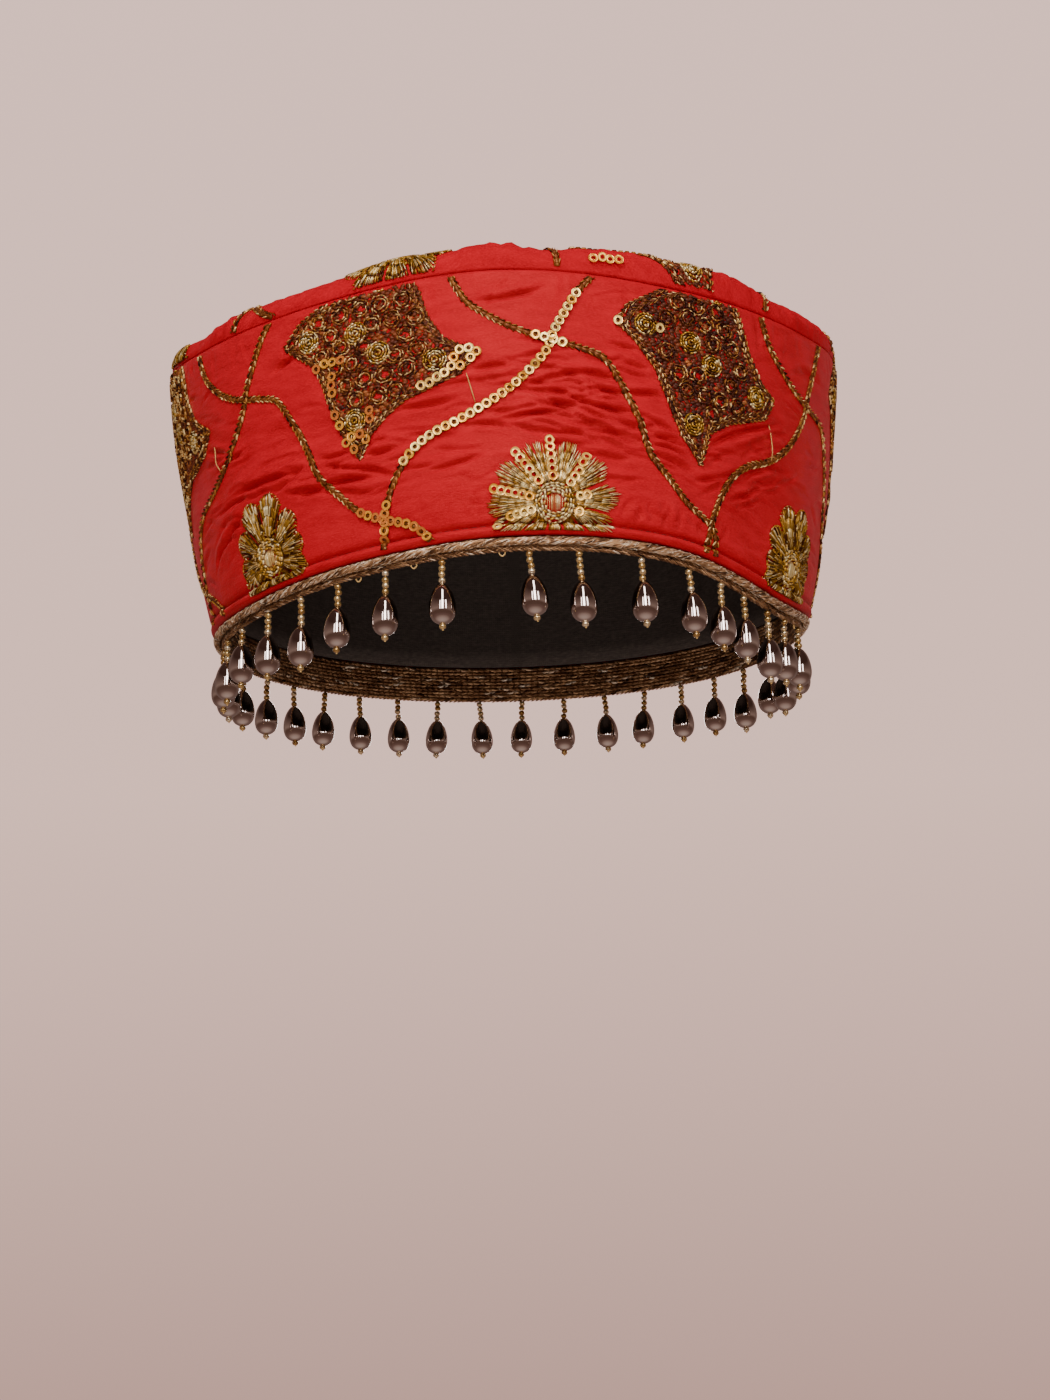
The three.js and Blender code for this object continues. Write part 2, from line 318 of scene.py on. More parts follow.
def wovenMaterial(name, values, cloth):
    # crossed threads, slubs drawn out along the weft, and flecks of painted highlight where single floats
    # catch the light
    material, tree, shader = newMaterial(name, values)
    uv = addNode(tree, "ShaderNodeUVMap", uv_map="cloth").outputs["UV"]
    threads = {}
    for k, (spacing, way) in enumerate(((cloth["warpMm"], "X"), (cloth["weftMm"], "Y"))):
        # the wave node runs through 20 radians in one unit
        wave = {"Scale": np.pi / (10 * spacing * mm), "Distortion": 1.5, "Detail": 1.0}
        node = addNode(tree, "ShaderNodeTexWave", wave, {"Vector": uv}, bands_direction=way)
        threads[k] = node.outputs["Fac"]
    crossed = addNode(tree, "ShaderNodeMath", {}, threads, operation="MULTIPLY")
    slub = clothNoise(tree, uv, cloth["slubMm"], 3.0, {"Scale": (1, cloth["slubAspect"], 1)})
    ramp = colourRamp(tree, slub, cloth["colours"])
    slant = {"Rotation": (0, 0, cloth["twill"]), "Scale": (1, cloth["fleckAspect"], 1)}
    fleck = clothNoise(tree, uv, cloth["fleckMm"], 2.0, slant)
    # the flecks mix a lighter colour into the base colour: painted highlight
    amount = ranged(tree, fleck, 0.42, 0.75, cloth["fleck"])
    shown = addNode(tree, "ShaderNodeMix", {7: colour(cloth["paintedFleckColour"])}, {0: amount, 6: ramp},
                    data_type="RGBA")
    tree.links.new(shown.outputs[2], shader.inputs["Base Color"])
    relief = [("weave", crossed.outputs["Value"]), ("fleck", fleck), ("slub", slub)]
    below = {}
    for part, height in relief:  # each bump lies on the one before
        strength, deep = cloth[part + "Bump"]
        bump = addNode(tree, "ShaderNodeBump", {"Strength": strength, "Distance": deep * mm},
                       {"Height": height, **below})
        below = {"Normal": bump.outputs["Normal"]}
    tree.links.new(bump.outputs["Normal"], shader.inputs["Normal"])
    return material


def threadMaterial(name, values, colours):
    # each stitch takes its own tone: painted flashes, as a metallic thread flashes by its angle
    material, tree, shader = newMaterial(name, values)
    tone = addNode(tree, "ShaderNodeAttribute", attribute_name="tone")
    tree.links.new(colourRamp(tree, tone.outputs["Fac"], colours), shader.inputs["Base Color"])
    return material


satinCloth = {
    "warpMm": 0.6, "weftMm": 0.75,  # about twice the real spacing, so that it shows
    "slubMm": 9.0, "slubAspect": 3.2, "fleckMm": 0.9, "fleckAspect": 2.6, "fleck": 0.7, "twill": 0.7,
    "weaveBump": (0.3, 0.06), "fleckBump": (0.6, 0.12), "slubBump": (0.6, 0.6),  # strength, depth in mm
    "colours": [(0.25, "#920c17"), (0.5, "#9f0f1b"), (0.75, "#ac1421")], "paintedFleckColour": "#b61b28",
}
# long floats of bright polyester: a broad soft gloss, still red, that runs along the folds
satin = wovenMaterial("woven polyester satin, dyed red", {
    "Roughness": 0.43, "IOR": 1.5, "Specular IOR Level": 0.32, "Specular Tint": colour("#ff7468"),
    "Sheen Weight": 0.05, "Sheen Roughness": 0.4, "Sheen Tint": colour("#ff6a6a")}, satinCloth)
# the same satin with its floats turned across the light: a duller shine
crownCloth = wovenMaterial("woven polyester satin, dyed red, cut on the cross", {
    "Roughness": 0.62, "IOR": 1.5, "Specular IOR Level": 0.12, "Specular Tint": colour("#ff7468")},
    satinCloth)
liningCloth = {
    "warpMm": 0.8, "weftMm": 0.8,  # coarser than the real thread, so that it shows
    "slubMm": 4.0, "slubAspect": 3.0, "fleckMm": 1.6, "fleckAspect": 2.6, "fleck": 0.4, "twill": 0.0,
    "weaveBump": (0.5, 0.1), "fleckBump": (0.3, 0.1), "slubBump": (0.3, 0.2),
    "colours": [(0.3, "#332e2b"), (0.6, "#3e3834"), (0.9, "#4b443f")], "paintedFleckColour": "#5e5650",
}
# plain cotton: matt, nearly black in the hollow
cotton = wovenMaterial("plain woven cotton, dyed black-brown", {"Roughness": 0.92, "IOR": 1.5}, liningCloth)
# film-wrapped thread in chain stitch: a dull brown body with painted flashes on it
bronzeThread = threadMaterial("metallised film thread, chain stitched", {
    "Metallic": 0.5, "Roughness": 0.42},
    [(0.0, "#38160a"), (0.35, "#784019"), (0.7, "#bb803a"), (1.0, "#f2d08a")])
# the same thread packed close under the rosettes, coloured a redder brown
groundThread = threadMaterial("metallised film thread, packed close", {"Metallic": 0.3, "Roughness": 0.5},
                              [(0.0, "#36130a"), (0.5, "#6c3014"), (1.0, "#b86e36")])
# the same thread laid side by side: painted brighter, a painted sheen, as the flats face one way
goldThread = threadMaterial("metallised gold thread, satin stitched", {"Metallic": 0.65, "Roughness": 0.28},
                            [(0.0, "#4c230c"), (0.4, "#a0701f"), (0.75, "#dcab48"), (1.0, "#ffecb0")])
# punched film: flat mirrors that catch the window one by one
sequinFilm = threadMaterial("gold metallised film, punched", {"Metallic": 0.5, "Roughness": 0.18},
                            [(0.0, "#d87f3c"), (0.4, "#efae3c"), (1.0, "#ffdf84")])
# twisted lurex over a mauve core: dull shine between dark gaps
braidThread = threadMaterial("bronze lurex yarn, twisted", {"Metallic": 0.6, "Roughness": 0.32},
                             [(0.0, "#341c10"), (0.45, "#966c48"), (0.8, "#e2b88a"), (1.0, "#fff2da")])
# vacuum plating on moulded acrylic: a clear mirror, faintly rosy
silvered = newMaterial("acrylic bead, vacuum plated silver", {
    "Base Color": colour("#d8cbc5"), "Metallic": 1.0, "Roughness": 0.07})[0]
# metal foil under glass: bright rims and a warm core
seedGlass = threadMaterial("glass seed bead, gold lined", {
    "Metallic": 0.85, "Roughness": 0.16, "Coat Weight": 1.0, "Coat Roughness": 0.03},
    [(0.0, "#b78c48"), (0.5, "#e2c27c"), (1.0, "#fff0cc")])
# spun polyester: matt, as red as the cloth
redThread = threadMaterial("spun polyester sewing thread, red", {"Roughness": 0.6, "IOR": 1.5},
                           [(0.0, "#4a060a"), (0.6, "#760c11"), (1.0, "#9c161b")])
# thin gold-yellow thread that shows between the beads
beadThread = threadMaterial("nylon beading thread, yellow", {"Roughness": 0.5, "IOR": 1.53},
                            [(0.0, "#a98142"), (1.0, "#d9b878")])
print("materials made")


# creases


def pressCreases(size, step, wraps, rows):
    # a map of the cloth's relief: each crease is a sharp valley between two soft lips
    relief = np.zeros(size)
    for u, v, length, heading, width, depth, sag in rows:
        reach = 0.6 * length + 4 * width
        cols = np.arange(int((u - reach) / step), int((u + reach) / step) + 2)
        lines = np.arange(max(0, int((v - reach) / step)), min(size[1], int((v + reach) / step) + 2))
        if not wraps:
            cols = cols[(cols >= 0) & (cols < size[0])]
        x, y = np.meshgrid(cols * step - u, lines * step - v, indexing="ij")
        along = x * np.cos(heading) + y * np.sin(heading)
        across = y * np.cos(heading) - x * np.sin(heading) - sag * (1 - (2 * along / length) ** 2)
        lips = 0.55 * bell(across - 1.2 * width, 0.65 * width) + 0.2 * bell(across + 1.3 * width, 0.8 * width)
        fold = lips - 1.1 * bell(across, 0.31 * width)
        relief[np.ix_(cols % size[0], lines)] += depth * np.exp(-(2.1 * along / length) ** 4) * fold
    return relief


def sampleMap(relief, step, u, v, wraps):
    x = np.asarray(u) / step
    y = np.clip(np.asarray(v) / step, 0, relief.shape[1] - 1.001)
    if not wraps:
        x = np.clip(x, 0, relief.shape[0] - 1.001)
    i, j = np.floor(x).astype(int), np.floor(y).astype(int)
    s, t = x - i, y - j
    i, k = i % relief.shape[0], (i + 1) % relief.shape[0]
    low = relief[i, j] * (1 - s) + relief[k, j] * s
    high = relief[i, j + 1] * (1 - s) + relief[k, j + 1] * s
    return low * (1 - t) + high * t


creases = {
    "step": 0.3, "tall": 84, "many": 240, "puckers": 80, "swells": 70, "deepest": 1.8,
    "width": (1.0, 1.8), "depth": (0.1, 0.4), "turn": 0.24, "seenDepth": 3.2,
    # creases seen in the front: angle, height, length, heading in degrees, width, depth
    "seen": np.array([
        (-45, 29.5, 36, -2, 1.8, 0.5), (-14.2, 40.8, 22, -4, 1.7, 0.45), (-2, 48.4, 9, 6, 1.5, 0.35),
        (7.7, 29.7, 15, -4, 1.5, 0.4), (15.7, 34.4, 13, -23, 1.6, 0.5), (17.5, 23.5, 10, -4, 1.5, 0.35),
        (16, 46.6, 11, -5, 1.5, 0.4), (19.5, 43.5, 17, 4, 1.6, 0.5), (15, 38.5, 16, -12, 1.6, 0.5),
        (28, 31, 11, -10, 1.4, 0.35), (42.5, 38.9, 30, 28, 1.7, 0.5), (20.6, 57.4, 14, -2, 1.5, 0.4),
        (-24, 24.4, 20, -20, 1.6, 0.4), (-30, 22.5, 24, 0, 1.6, 0.45), (10.2, 46.1, 17, 13, 1.5, 0.4),
        (-8.7, 22, 15, 9, 1.5, 0.35), (-56, 21, 14, 21, 1.6, 0.4), (38, 24.9, 17, 26, 1.6, 0.4),
        (15.3, 17.9, 24, -2, 1.5, 0.3), (1, 70.4, 17, 11, 1.5, 0.35), (-36.5, 63.4, 11, 16, 1.8, 0.5),
        (-9.5, 44, 15, 8, 1.6, 0.4), (26.8, 24.7, 17, -10, 1.5, 0.4), (3.8, 34, 17, 9, 1.5, 0.4)]),
    # where creases crowd: angle, height, spread of each, how many, heading in degrees, depth
    "crowds": [(13, 37, 8, 8, 52, -10, 0.8), (4, 44, 6, 5, 16, 8, 0.6), (-26, 25, 8, 5, 26, -4, 0.65),
               (43, 31, 6, 9, 24, 24, 0.65), (-50, 30, 7, 9, 24, 2, 0.65), (22, 7.5, 9, 1.5, 18, 84, 0.45),
               (-10, 8, 8, 1.5, 8, 92, 0.3), (108, 40, 20, 14, 40, -6, 0.5), (-120, 40, 22, 14, 40, 5, 0.5),
               (180, 36, 20, 14, 40, 0, 0.5)],
}
many = creases["many"]
longs = np.exp(chance.normal(2.25, 0.4, many))
strewn = rowsOf(
    chance.uniform(0, girth, many), chance.uniform(6, 73, many), longs,
    chance.normal(0, creases["turn"], many), chance.uniform(*creases["width"], many),
    chance.uniform(*creases["depth"], many), chance.normal(0, 0.06, many) * longs)
count = creases["puckers"]
puckers = rowsOf(
    np.linspace(0, girth, count, endpoint=False) + chance.normal(0, 2, count), chance.uniform(70, 77, count),
    chance.uniform(7, 14, count), np.pi / 2 + chance.normal(0, 0.3, count), chance.uniform(0.8, 1.6, count),
    chance.uniform(0.12, 0.36, count), chance.normal(0, 0.5, count))
seen = creases["seen"].copy()
seen[:, 0] = seen[:, 0] * arc % girth
seen[:, 3] = np.radians(seen[:, 3])
seen[:, 5] *= creases["seenDepth"]
seen = np.concatenate([seen, 0.04 * seen[:, 2:3] * chance.choice([-1, 1], (len(seen), 1))], 1)
crowds = []
for angle, up, spreadAngle, spreadUp, count, heading, depth in creases["crowds"]:
    longs = chance.uniform(7, 19, count) * (0.4 if abs(heading) > 60 else 1)
    crowds.append(rowsOf(
        chance.normal(angle, spreadAngle, count) * arc % girth, chance.normal(up, spreadUp, count), longs,
        np.radians(chance.normal(heading, 10, count)), chance.uniform(1.0, 1.7, count),
        depth * chance.uniform(0.6, 1.4, count), chance.normal(0, 0.05, count) * longs))
bandSize = (int(round(girth / creases["step"])), int(creases["tall"] / creases["step"]))
bandStep = girth / bandSize[0]
bandRelief = pressCreases(bandSize, bandStep, True, np.concatenate([strewn, puckers, seen] + crowds))
gridU, gridV = np.meshgrid(*[np.arange(cells) * bandStep for cells in bandSize], indexing="ij")
for swell in range(creases["swells"]):
    u, v = chance.uniform(0, girth), chance.uniform(10, 72)
    high = chance.normal(0, 0.55) * bell(apart(gridU, u, girth), chance.uniform(6, 16))
    bandRelief += high * bell(gridV - v, chance.uniform(4, 8))
# the cloth lies calmer at both edges
bandRelief *= np.clip((gridV - 3.6) / 5, 0, 1) * np.clip((cap["height"] + 1.5 - gridV) / 5, 0.15, 1)
bandRelief -= 0.8 * bell(apart(gridU, cap["backSeam"] * arc, girth), 0.7) * (gridV > 1)  # the back seam
bandRelief = creases["deepest"] * np.tanh(bandRelief / creases["deepest"])

crownCreases = {
    "step": 0.5, "half": 115.0, "many": 380, "puckers": 96, "puckerRadius": 98, "swells": 60, "deepest": 1.5,
}
crownStep, crownHalf = crownCreases["step"], crownCreases["half"]
many = crownCreases["many"]
longs = np.exp(chance.normal(2.4, 0.4, many))
strewn = rowsOf(
    chance.uniform(0, 2 * crownHalf, many), chance.uniform(0, 2 * crownHalf, many), longs,
    chance.uniform(0, np.pi, many), chance.uniform(1.0, 2.0, many), chance.uniform(0.25, 0.75, many),
    chance.normal(0, 0.06, many) * longs)
count = crownCreases["puckers"]
turn = np.linspace(0, 2 * np.pi, count, endpoint=False) + chance.normal(0, 0.02, count)
down, over = polar(crownCreases["puckerRadius"], turn)
puckers = rowsOf(
    crownHalf + over, crownHalf - down, chance.uniform(8, 20, count),
    turn - np.pi / 2 + chance.normal(0, 0.2, count), chance.uniform(1.1, 2.2, count),
    chance.uniform(0.25, 0.7, count), chance.normal(0, 0.6, count))
crownSize = (int(2 * crownHalf / crownStep),) * 2
crownRelief = pressCreases(crownSize, crownStep, False, np.concatenate([strewn, puckers]))
gridU, gridV = np.meshgrid(*[np.arange(cells) * crownStep for cells in crownSize], indexing="ij")
for swell in range(crownCreases["swells"]):
    u, v = chance.uniform(20, 210, 2)
    crownRelief += chance.normal(0, 0.75) * bell(np.hypot(gridU - u, gridV - v), chance.uniform(6, 14))
crownRelief = crownCreases["deepest"] * np.tanh(crownRelief / crownCreases["deepest"])
print("creases pressed")


# embroidery, charted on the flat cloth

# the crown's section from the seam over the shoulder: step in, height
crownSection = smoothPath([(0.5, 0.12), (0.15, 2.2), (0.9, 4.6), (3.2, 6.9), (7.5, 8.2), (20, 9.2),
                           (52, 10.6), (88, 11.3), (98, 11.4)])
crownRun = runAlong(crownSection)
crownReach = crownRun[-1] + 1  # radius of the crown laid flat
crownSlope = np.gradient(crownSection, crownRun, axis=0)


def stitches(*columns):
    # rows of place along and up the cloth, heading, length, width, height, rise above the cloth, tone
    return rowsOf(*columns).reshape(-1, 8)


vineStyle = {
    "pitch": 1.85, "apart": 0.76, "splay": 0.34, "tone": 0.56, "dark": 0.36,
    # a leg of a loop and the loop's filled middle: length, width, height, rise
    "leg": (2.05, 0.46, 0.7, 0.36), "body": (2.9, 2.5, 0.8, 0.08),
}
edgeStyle = {  # round the kites
    **vineStyle, "pitch": 1.75, "apart": 0.42, "dark": 0.16,
    "leg": (1.9, 0.36, 0.7, 0.36), "body": (2.7, 1.35, 0.8, 0.08),
}


def chainLine(path, style):
    # chain stitch: each loop has two legs that open forward, over a dark filled middle
    at, heading = spacedAlong(path, style["pitch"])
    many = len(at)
    rows = [stitches(*at.T, heading, *style["body"], chance.normal(style["dark"], 0.05, many))]
    for side in (-1, 1):
        u = at[:, 0] - side * style["apart"] * np.sin(heading)
        v = at[:, 1] + side * style["apart"] * np.cos(heading)
        leg = heading + side * style["splay"] + chance.normal(0, 0.09, many)
        rows.append(stitches(u, v, leg, *style["leg"], chance.normal(style["tone"], 0.36, many)))
    return np.concatenate(rows)


def insideOf(points, outline):
    # even-odd test of points against a closed line
    x, y = points[:, :1], points[:, 1:]
    ax, ay = outline[None, :, 0], outline[None, :, 1]
    bx, by = np.roll(outline[:, 0], -1)[None], np.roll(outline[:, 1], -1)[None]
    span = np.where(by == ay, 1e-9, by - ay)
    crossing = ((ay > y) != (by > y)) & (x < (bx - ax) * (y - ay) / span + ax)
    return crossing.sum(1) % 2 == 1


def nearest(points, others):
    return np.min(np.linalg.norm(points[:, None] - others[None], axis=2), axis=1)


kiteStyle = {
    # two kites as they were sewn, charted from their middles: edge, then gold dots
    "edges": (
        [(-29.1, 10.5), (-18.7, 2), (-16.2, -4.8), (-14.5, -12.5), (-11.7, -20.5), (-7, -28.5), (-3, -21.8),
         (2.3, -17.5), (7.9, -14.2), (13.4, -12.8), (23.2, -9.5), (28.8, -3.8), (23.6, -1.2), (19.2, 1.5),
         (15.2, 8.8), (13.1, 16.8), (9, 27), (2.5, 31), (-6.1, 24), (-14.5, 19.8), (-22.7, 16.5)],
        [(-27.9, 7.5), (-22.3, 2.5), (-16.1, -5), (-10.8, -17), (-7.3, -23.8), (-0.3, -30.8), (2.1, -20.8),
         (9.1, -16), (23.6, -10.2), (27, -4.2), (20.9, -0.8), (15.4, 6.8), (11.3, 17.5), (7.9, 25), (2, 31),
         (-6.1, 23.5), (-15.4, 19.2), (-24.8, 13)]),
    "dots": ([(-20.4, 10), (-5.2, 8.5), (1.2, 1), (16.9, -4.5), (-7.5, -17.2), (2.3, 22.8)],
             [(-19.5, 8), (-5.6, 5), (1.7, -0.5), (18.8, -5.5), (-3.8, -19.8), (3.1, 22.5)]),
    "rosettePitch": 6.2, "rosettes": ((2.5, 13), (1.6, 9)),  # radius and stitches of each ring
    # painted light: the first kind's tones are raised and the second's lowered, as by how the light falls
    "groundRow": 0.9, "groundPitch": 1.95, "paintedLight": (0.2, -0.08),  # the first kind faces the light
    "innerEdge": 0.92, "clearOfEdge": 2.9, "clearOfDots": 5.0,
    "openShare": 0.5, "openRadius": 0.95,  # rosettes with the cloth showing in the middle
    "coils": ((3.15, 18), (2.4, 14), (1.6, 9), (0.7, 5)),  # the gold dots, wound from rings
    # length, width, height and rise of a stitch
    "rosetteStitch": (1.6, 0.42, 0.8, 0.62), "groundStitch": (3.5, 2.2, 0.8, 0.12),
    "coilStitch": (1.5, 0.7, 0.8),  # without its rise
}


def kite(seed, kind):
    # a close dark ground, rosettes of running stitch over it, gold coils and a double edge
    rng = np.random.default_rng(seed)
    edge = np.array(kiteStyle["edges"][kind], float)
    dots = np.array(kiteStyle["dots"][kind], float)
    # painted light raises or lowers every tone of this kite
    paintedLight = kiteStyle["paintedLight"][kind]
    closed = np.concatenate([edge, edge[:1]])
    edge = np.concatenate([np.linspace(a, b, 5)[:-1] for a, b in zip(closed[:-1], closed[1:])])
    bronze = [chainLine(closed, edgeStyle), chainLine(closed * kiteStyle["innerEdge"], edgeStyle)]
    pitch = kiteStyle["rosettePitch"]
    rows, cols = np.meshgrid(np.arange(-6, 7), np.arange(-6, 7), indexing="ij")
    sites = rowsOf((cols + 0.5 * (rows % 2)) * pitch, rows * pitch * 0.87).reshape(-1, 2)
    sites += rng.normal(0, 0.45, sites.shape) + rng.uniform(-1, 1, 2)
    sites = sites[insideOf(sites, edge) & (nearest(sites, edge) > kiteStyle["clearOfEdge"])
                  & (nearest(sites, dots) > kiteStyle["clearOfDots"])]
    for radius, many in kiteStyle["rosettes"]:
        turn = circle(many) + rng.uniform(0, 6, (len(sites), 1))
        u, v = polar(radius * (1 + rng.normal(0, 0.06, turn.shape)), turn)
        heading = turn + np.pi / 2 + rng.normal(0, 0.2, turn.shape)
        bronze.append(stitches(sites[:, :1] + u, sites[:, 1:] + v, heading, *kiteStyle["rosetteStitch"],
                               rng.normal(0.4 + paintedLight, 0.46, turn.shape)))
    pitch = kiteStyle["groundPitch"]
    ups, overs = np.meshgrid(np.arange(-34, 36, kiteStyle["groundRow"]), np.arange(-34, 34, pitch),
                             indexing="ij")
    overs = overs + rng.uniform(0, pitch, (len(ups), 1))
    laid = np.stack([overs, ups], -1).reshape(-1, 2) + rng.normal(0, 0.14, (ups.size, 2))
    laid = laid[insideOf(laid, edge)]
    opened = sites[rng.uniform(0, 1, len(sites)) < kiteStyle["openShare"]]
    laid = laid[nearest(laid, opened) > kiteStyle["openRadius"]]
    ground = stitches(*laid.T, rng.normal(0.1, 0.45, len(laid)), *kiteStyle["groundStitch"],
                      rng.normal(0.32 + 0.6 * paintedLight, 0.18, len(laid)))
    gold = []
    for radius, many in kiteStyle["coils"]:
        turn = circle(many) + rng.uniform(0, 6, (len(dots), 1))
        u, v = polar(radius, turn)
        heading = turn + np.pi / 2 + rng.normal(0, 0.25, turn.shape)
        gold.append(stitches(dots[:, :1] + u, dots[:, 1:] + v, heading, *kiteStyle["coilStitch"],
                             0.75 - 0.08 * radius, rng.normal(0.64 + 0.7 * paintedLight, 0.32, turn.shape)))
    return np.concatenate(bronze), np.concatenate(gold), ground


flowerStyle = {
    "rings": ((3.1, 13), (3.9, 17), (4.7, 20), (5.5, 23)), "hole": 2.6, "collar": 110, "from": 6.4,
    "segment": 2.7, "vary": 0.36,
    # length, width, height and rise of a stitch
    "ringStitch": (1.7, 0.9, 0.8, 0.5), "collarStitch": (1.7, 0.42, 0.7, 0.4),
    "groundStitch": (2.4, 0.9, 0.5, 0.05), "speckStitch": (0.95, 0.4, 0.6, 0.25),
}
petalStyles = (  # of a plain flower, then of a rich one; "to" is the reach sideways and upwards
    {"to": (19.2, 18.0), "spread": 13.6, "scallop": 2.9, "threads": 21, "open": 3.2, "bar": 0.32,
     "width": 0.34, "tone": 0.74, "ridgeHighlight": 0.06, "ground": 0.24},
    {"to": (14.2, 18.4), "spread": 16.6, "scallop": 2.6, "threads": 16, "open": 0.8, "bar": 0.5,
     "width": 0.4, "tone": 0.16, "ridgeHighlight": 0.46, "ground": 0.02},
)


def flower(seed, rich, petals):
    # a ring, a mottled collar, and fans of thread over a darker ground that a rich flower fills further out
    rng = np.random.default_rng(seed)
    style = {**flowerStyle, **petalStyles[rich]}
    inner, hole = style["from"], style["hole"]
    rows = []
    for radius, many in style["rings"]:
        turn = circle(many) + rng.uniform(0, 6)
        rows.append(stitches(*polar(radius, turn), turn + np.pi / 2 + rng.normal(0, 0.35, many),
                             *style["ringStitch"], rng.normal(0.92 - 0.2 * rich, 0.25, many)))
    side = np.linspace(-hole, hole, 11)[1:-1] + rng.normal(0, 0.1, 9)
    long = 2.3 * np.sqrt(np.abs(hole ** 2 - side ** 2) + 0.4)
    rows.append(stitches(side, 0, np.pi / 2, long, style["bar"], 0.7, 0.3, rng.uniform(0.8, 1, len(side))))
    many = style["collar"]
    turn = rng.uniform(0, 2 * np.pi, many)
    away = rng.uniform(5.6, 10, many)
    rows.append(stitches(*polar(away, turn), turn + rng.normal(0, 0.7, many), *style["collarStitch"],
                         rng.normal(0.45, 0.3, many)))
    many, fan, scallop = style["threads"], style["spread"], style["scallop"]
    spread = np.linspace(-1, 1, many)
    for petal in petals:
        way = np.radians(petal)
        start = way + np.radians(spread * 0.55 * fan)
        end = way + np.radians(spread * fan + rng.normal(0, 0.7, many))
        over, high = style["to"]
        reach = over + (high - over) * np.sin(way) ** 2
        long = reach - scallop * spread ** 2 + rng.normal(0, 0.35, many)
        a = np.stack(polar(inner, start), -1)
        b = np.stack(polar(long, end), -1)
        steps = int(round((reach - inner) / style["segment"]))
        along = (np.arange(steps) + 0.5)[:, None] / steps
        at = a + (b - a) * along[:, :, None]
        heading = np.arctan2((b - a)[:, 1], (b - a)[:, 0]) + rng.normal(0, 0.06, (steps, many))
        size = np.linalg.norm(b - a, axis=1) / steps
        raised = 0.3 + 0.3 * (1 - spread ** 2) * (1 - along ** 2)
        tone = rng.normal(style["tone"], style["vary"], (steps, many)) + 0.15 * along
        # the tone is raised down the middle of each petal: painted highlight on its ridge
        rows.append(stitches(at[..., 0], at[..., 1], heading, 1.3 * size, style["width"], 0.6, raised,
                             tone + style["ridgeHighlight"] * (1 - spread ** 2)))
        away, off = np.meshgrid(np.arange(inner, reach - style["open"], 1.9), np.linspace(-0.9, 0.9, 9),
                                indexing="ij")
        turn = way + np.radians(off * fan)
        away = away - 0.8 * scallop * off ** 2 * (away / reach)
        rows.append(stitches(*polar(away, turn), turn, *style["groundStitch"],
                             rng.normal(style["ground"], 0.12, turn.shape)))
        if rich:  # an edge of fine specks
            off = np.linspace(-1, 1, 13)
            turn = way + np.radians(off * fan)
            away = reach + 0.4 - scallop * off ** 2
            rows.append(stitches(*polar(away, turn), turn + np.pi / 2 - 0.5 * off, *style["speckStitch"],
                                 rng.normal(0.5, 0.35, 13)))
    return np.concatenate(rows)


# thread of each part, and where along a stitch its rings stand
embroidery = {
    "vines": (bronzeThread, (-0.55, 0.55)), "kites": (bronzeThread, (-0.55, 0.55)),
    "flowers": (goldThread, (-0.55, 0.55)), "kite_grounds": (groundThread, (0,)),
}
bandChart = {part: [] for part in embroidery}
crownChart = {part: [] for part in embroidery}

bandPattern = {
    # the vines across one repeat: share of the way to the lower crossing, share of the height
    "fallsRight": [(-0.52, 1.04), (-0.47, 0.945), (-0.4, 0.87), (-0.25, 0.795), (-0.12, 0.754), (0, 0.729),
                   (0.167, 0.704), (0.3, 0.671), (0.4, 0.571), (0.5, 0.446), (0.567, 0.338), (0.7, 0.246),
                   (0.83, 0.171), (1, 0.12)],
    "fallsLeft": [(-0.31, 1.07), (-0.25, 0.995), (-0.16, 0.92), (-0.09, 0.837), (-0.03, 0.762), (0.02, 0.679),
                  (0.14, 0.587), (0.28, 0.512), (0.47, 0.446), (0.68, 0.396), (0.81, 0.338), (0.91, 0.254),
                  (0.98, 0.155), (1.0, 0.088), (1.03, 0)],
    "noTail": [(1.045, 0.085), (1.052, 0.04), (1.055, 0)],
    # degrees: upper crossing, lower crossing to its right, kite; then which kite, the vine's tail, sequins
    "repeats": [(-102, -75, -75, 0, 0.33, False), (-47, -21.5, -20.5, 0, 0.33, False),
                (7, 37, 34, 1, 0, True), (60, 88.5, 88.5, 1, 0.33, False),
                (113, 138, 138, 0, 0.33, False), (162, 187, 187, 1, 0.33, True),
                (210.5, 235.5, 235.5, 0, 0.33, False)],
    "petals": (182, 147, 111, 75, 39, 7, -23, -54, -90, -126, -156),
    "flowerUp": 8.8, "flowerOver": 0.6, "kiteUp": 57.0,
}
sequinChart = {
    # sequins low on the band have their tone lowered towards orange: painted shade
    "vinePitch": 2.5, "rowPitch": 2.05, "raised": 0.75, "paintedShade": 0.6,
    # rays on a flower: heading in degrees, first radius, how many
    "rays": ((196, 7.4, 4), (201, 18.2, 1), (167, 7.7, 6), (128, 7.8, 6), (95, 7.6, 6), (53, 7.5, 3),
             (56, 14.3, 2), (15, 7.6, 2), (-19, 7.5, 1)),
    # on the kite to the left of a sequined flower, from its middle
    "leftKite": ((28.4, -3.8), (26.7, -5.4), (23.9, -7.5), (26.4, -2.6), (23.9, -2.8), (22.2, -4.8),
                 (21.5, -7.4), (19.5, -9.0), (17.4, -9.9), (15.2, -11.2), (12.8, -11.6), (-10, 1.5),
                 (-12.6, 1.6), (-15.2, 1.8), (-18, 0.9), (-13.1, -2.8), (-13.5, -5.2), (-13.4, -7.6),
                 (-13.4, -14.2), (-2.6, -15.5), (-2.7, -17.9), (-6.1, -21.6), (-8.7, -21.8), (-4.4, -23.6),
                 (-10.6, -23.2), (-8.3, -25.6), (-12.2, -17.6)),
    "rightKite": ((-27.8, 7.6), (-15.5, 7.4)),
    "crown": [(29.6 + 2.3 * k, -96.6 + 0.7 * k, 0.3, 0.75, 0.2) for k in range(-2, 2)],  # whole rows
}
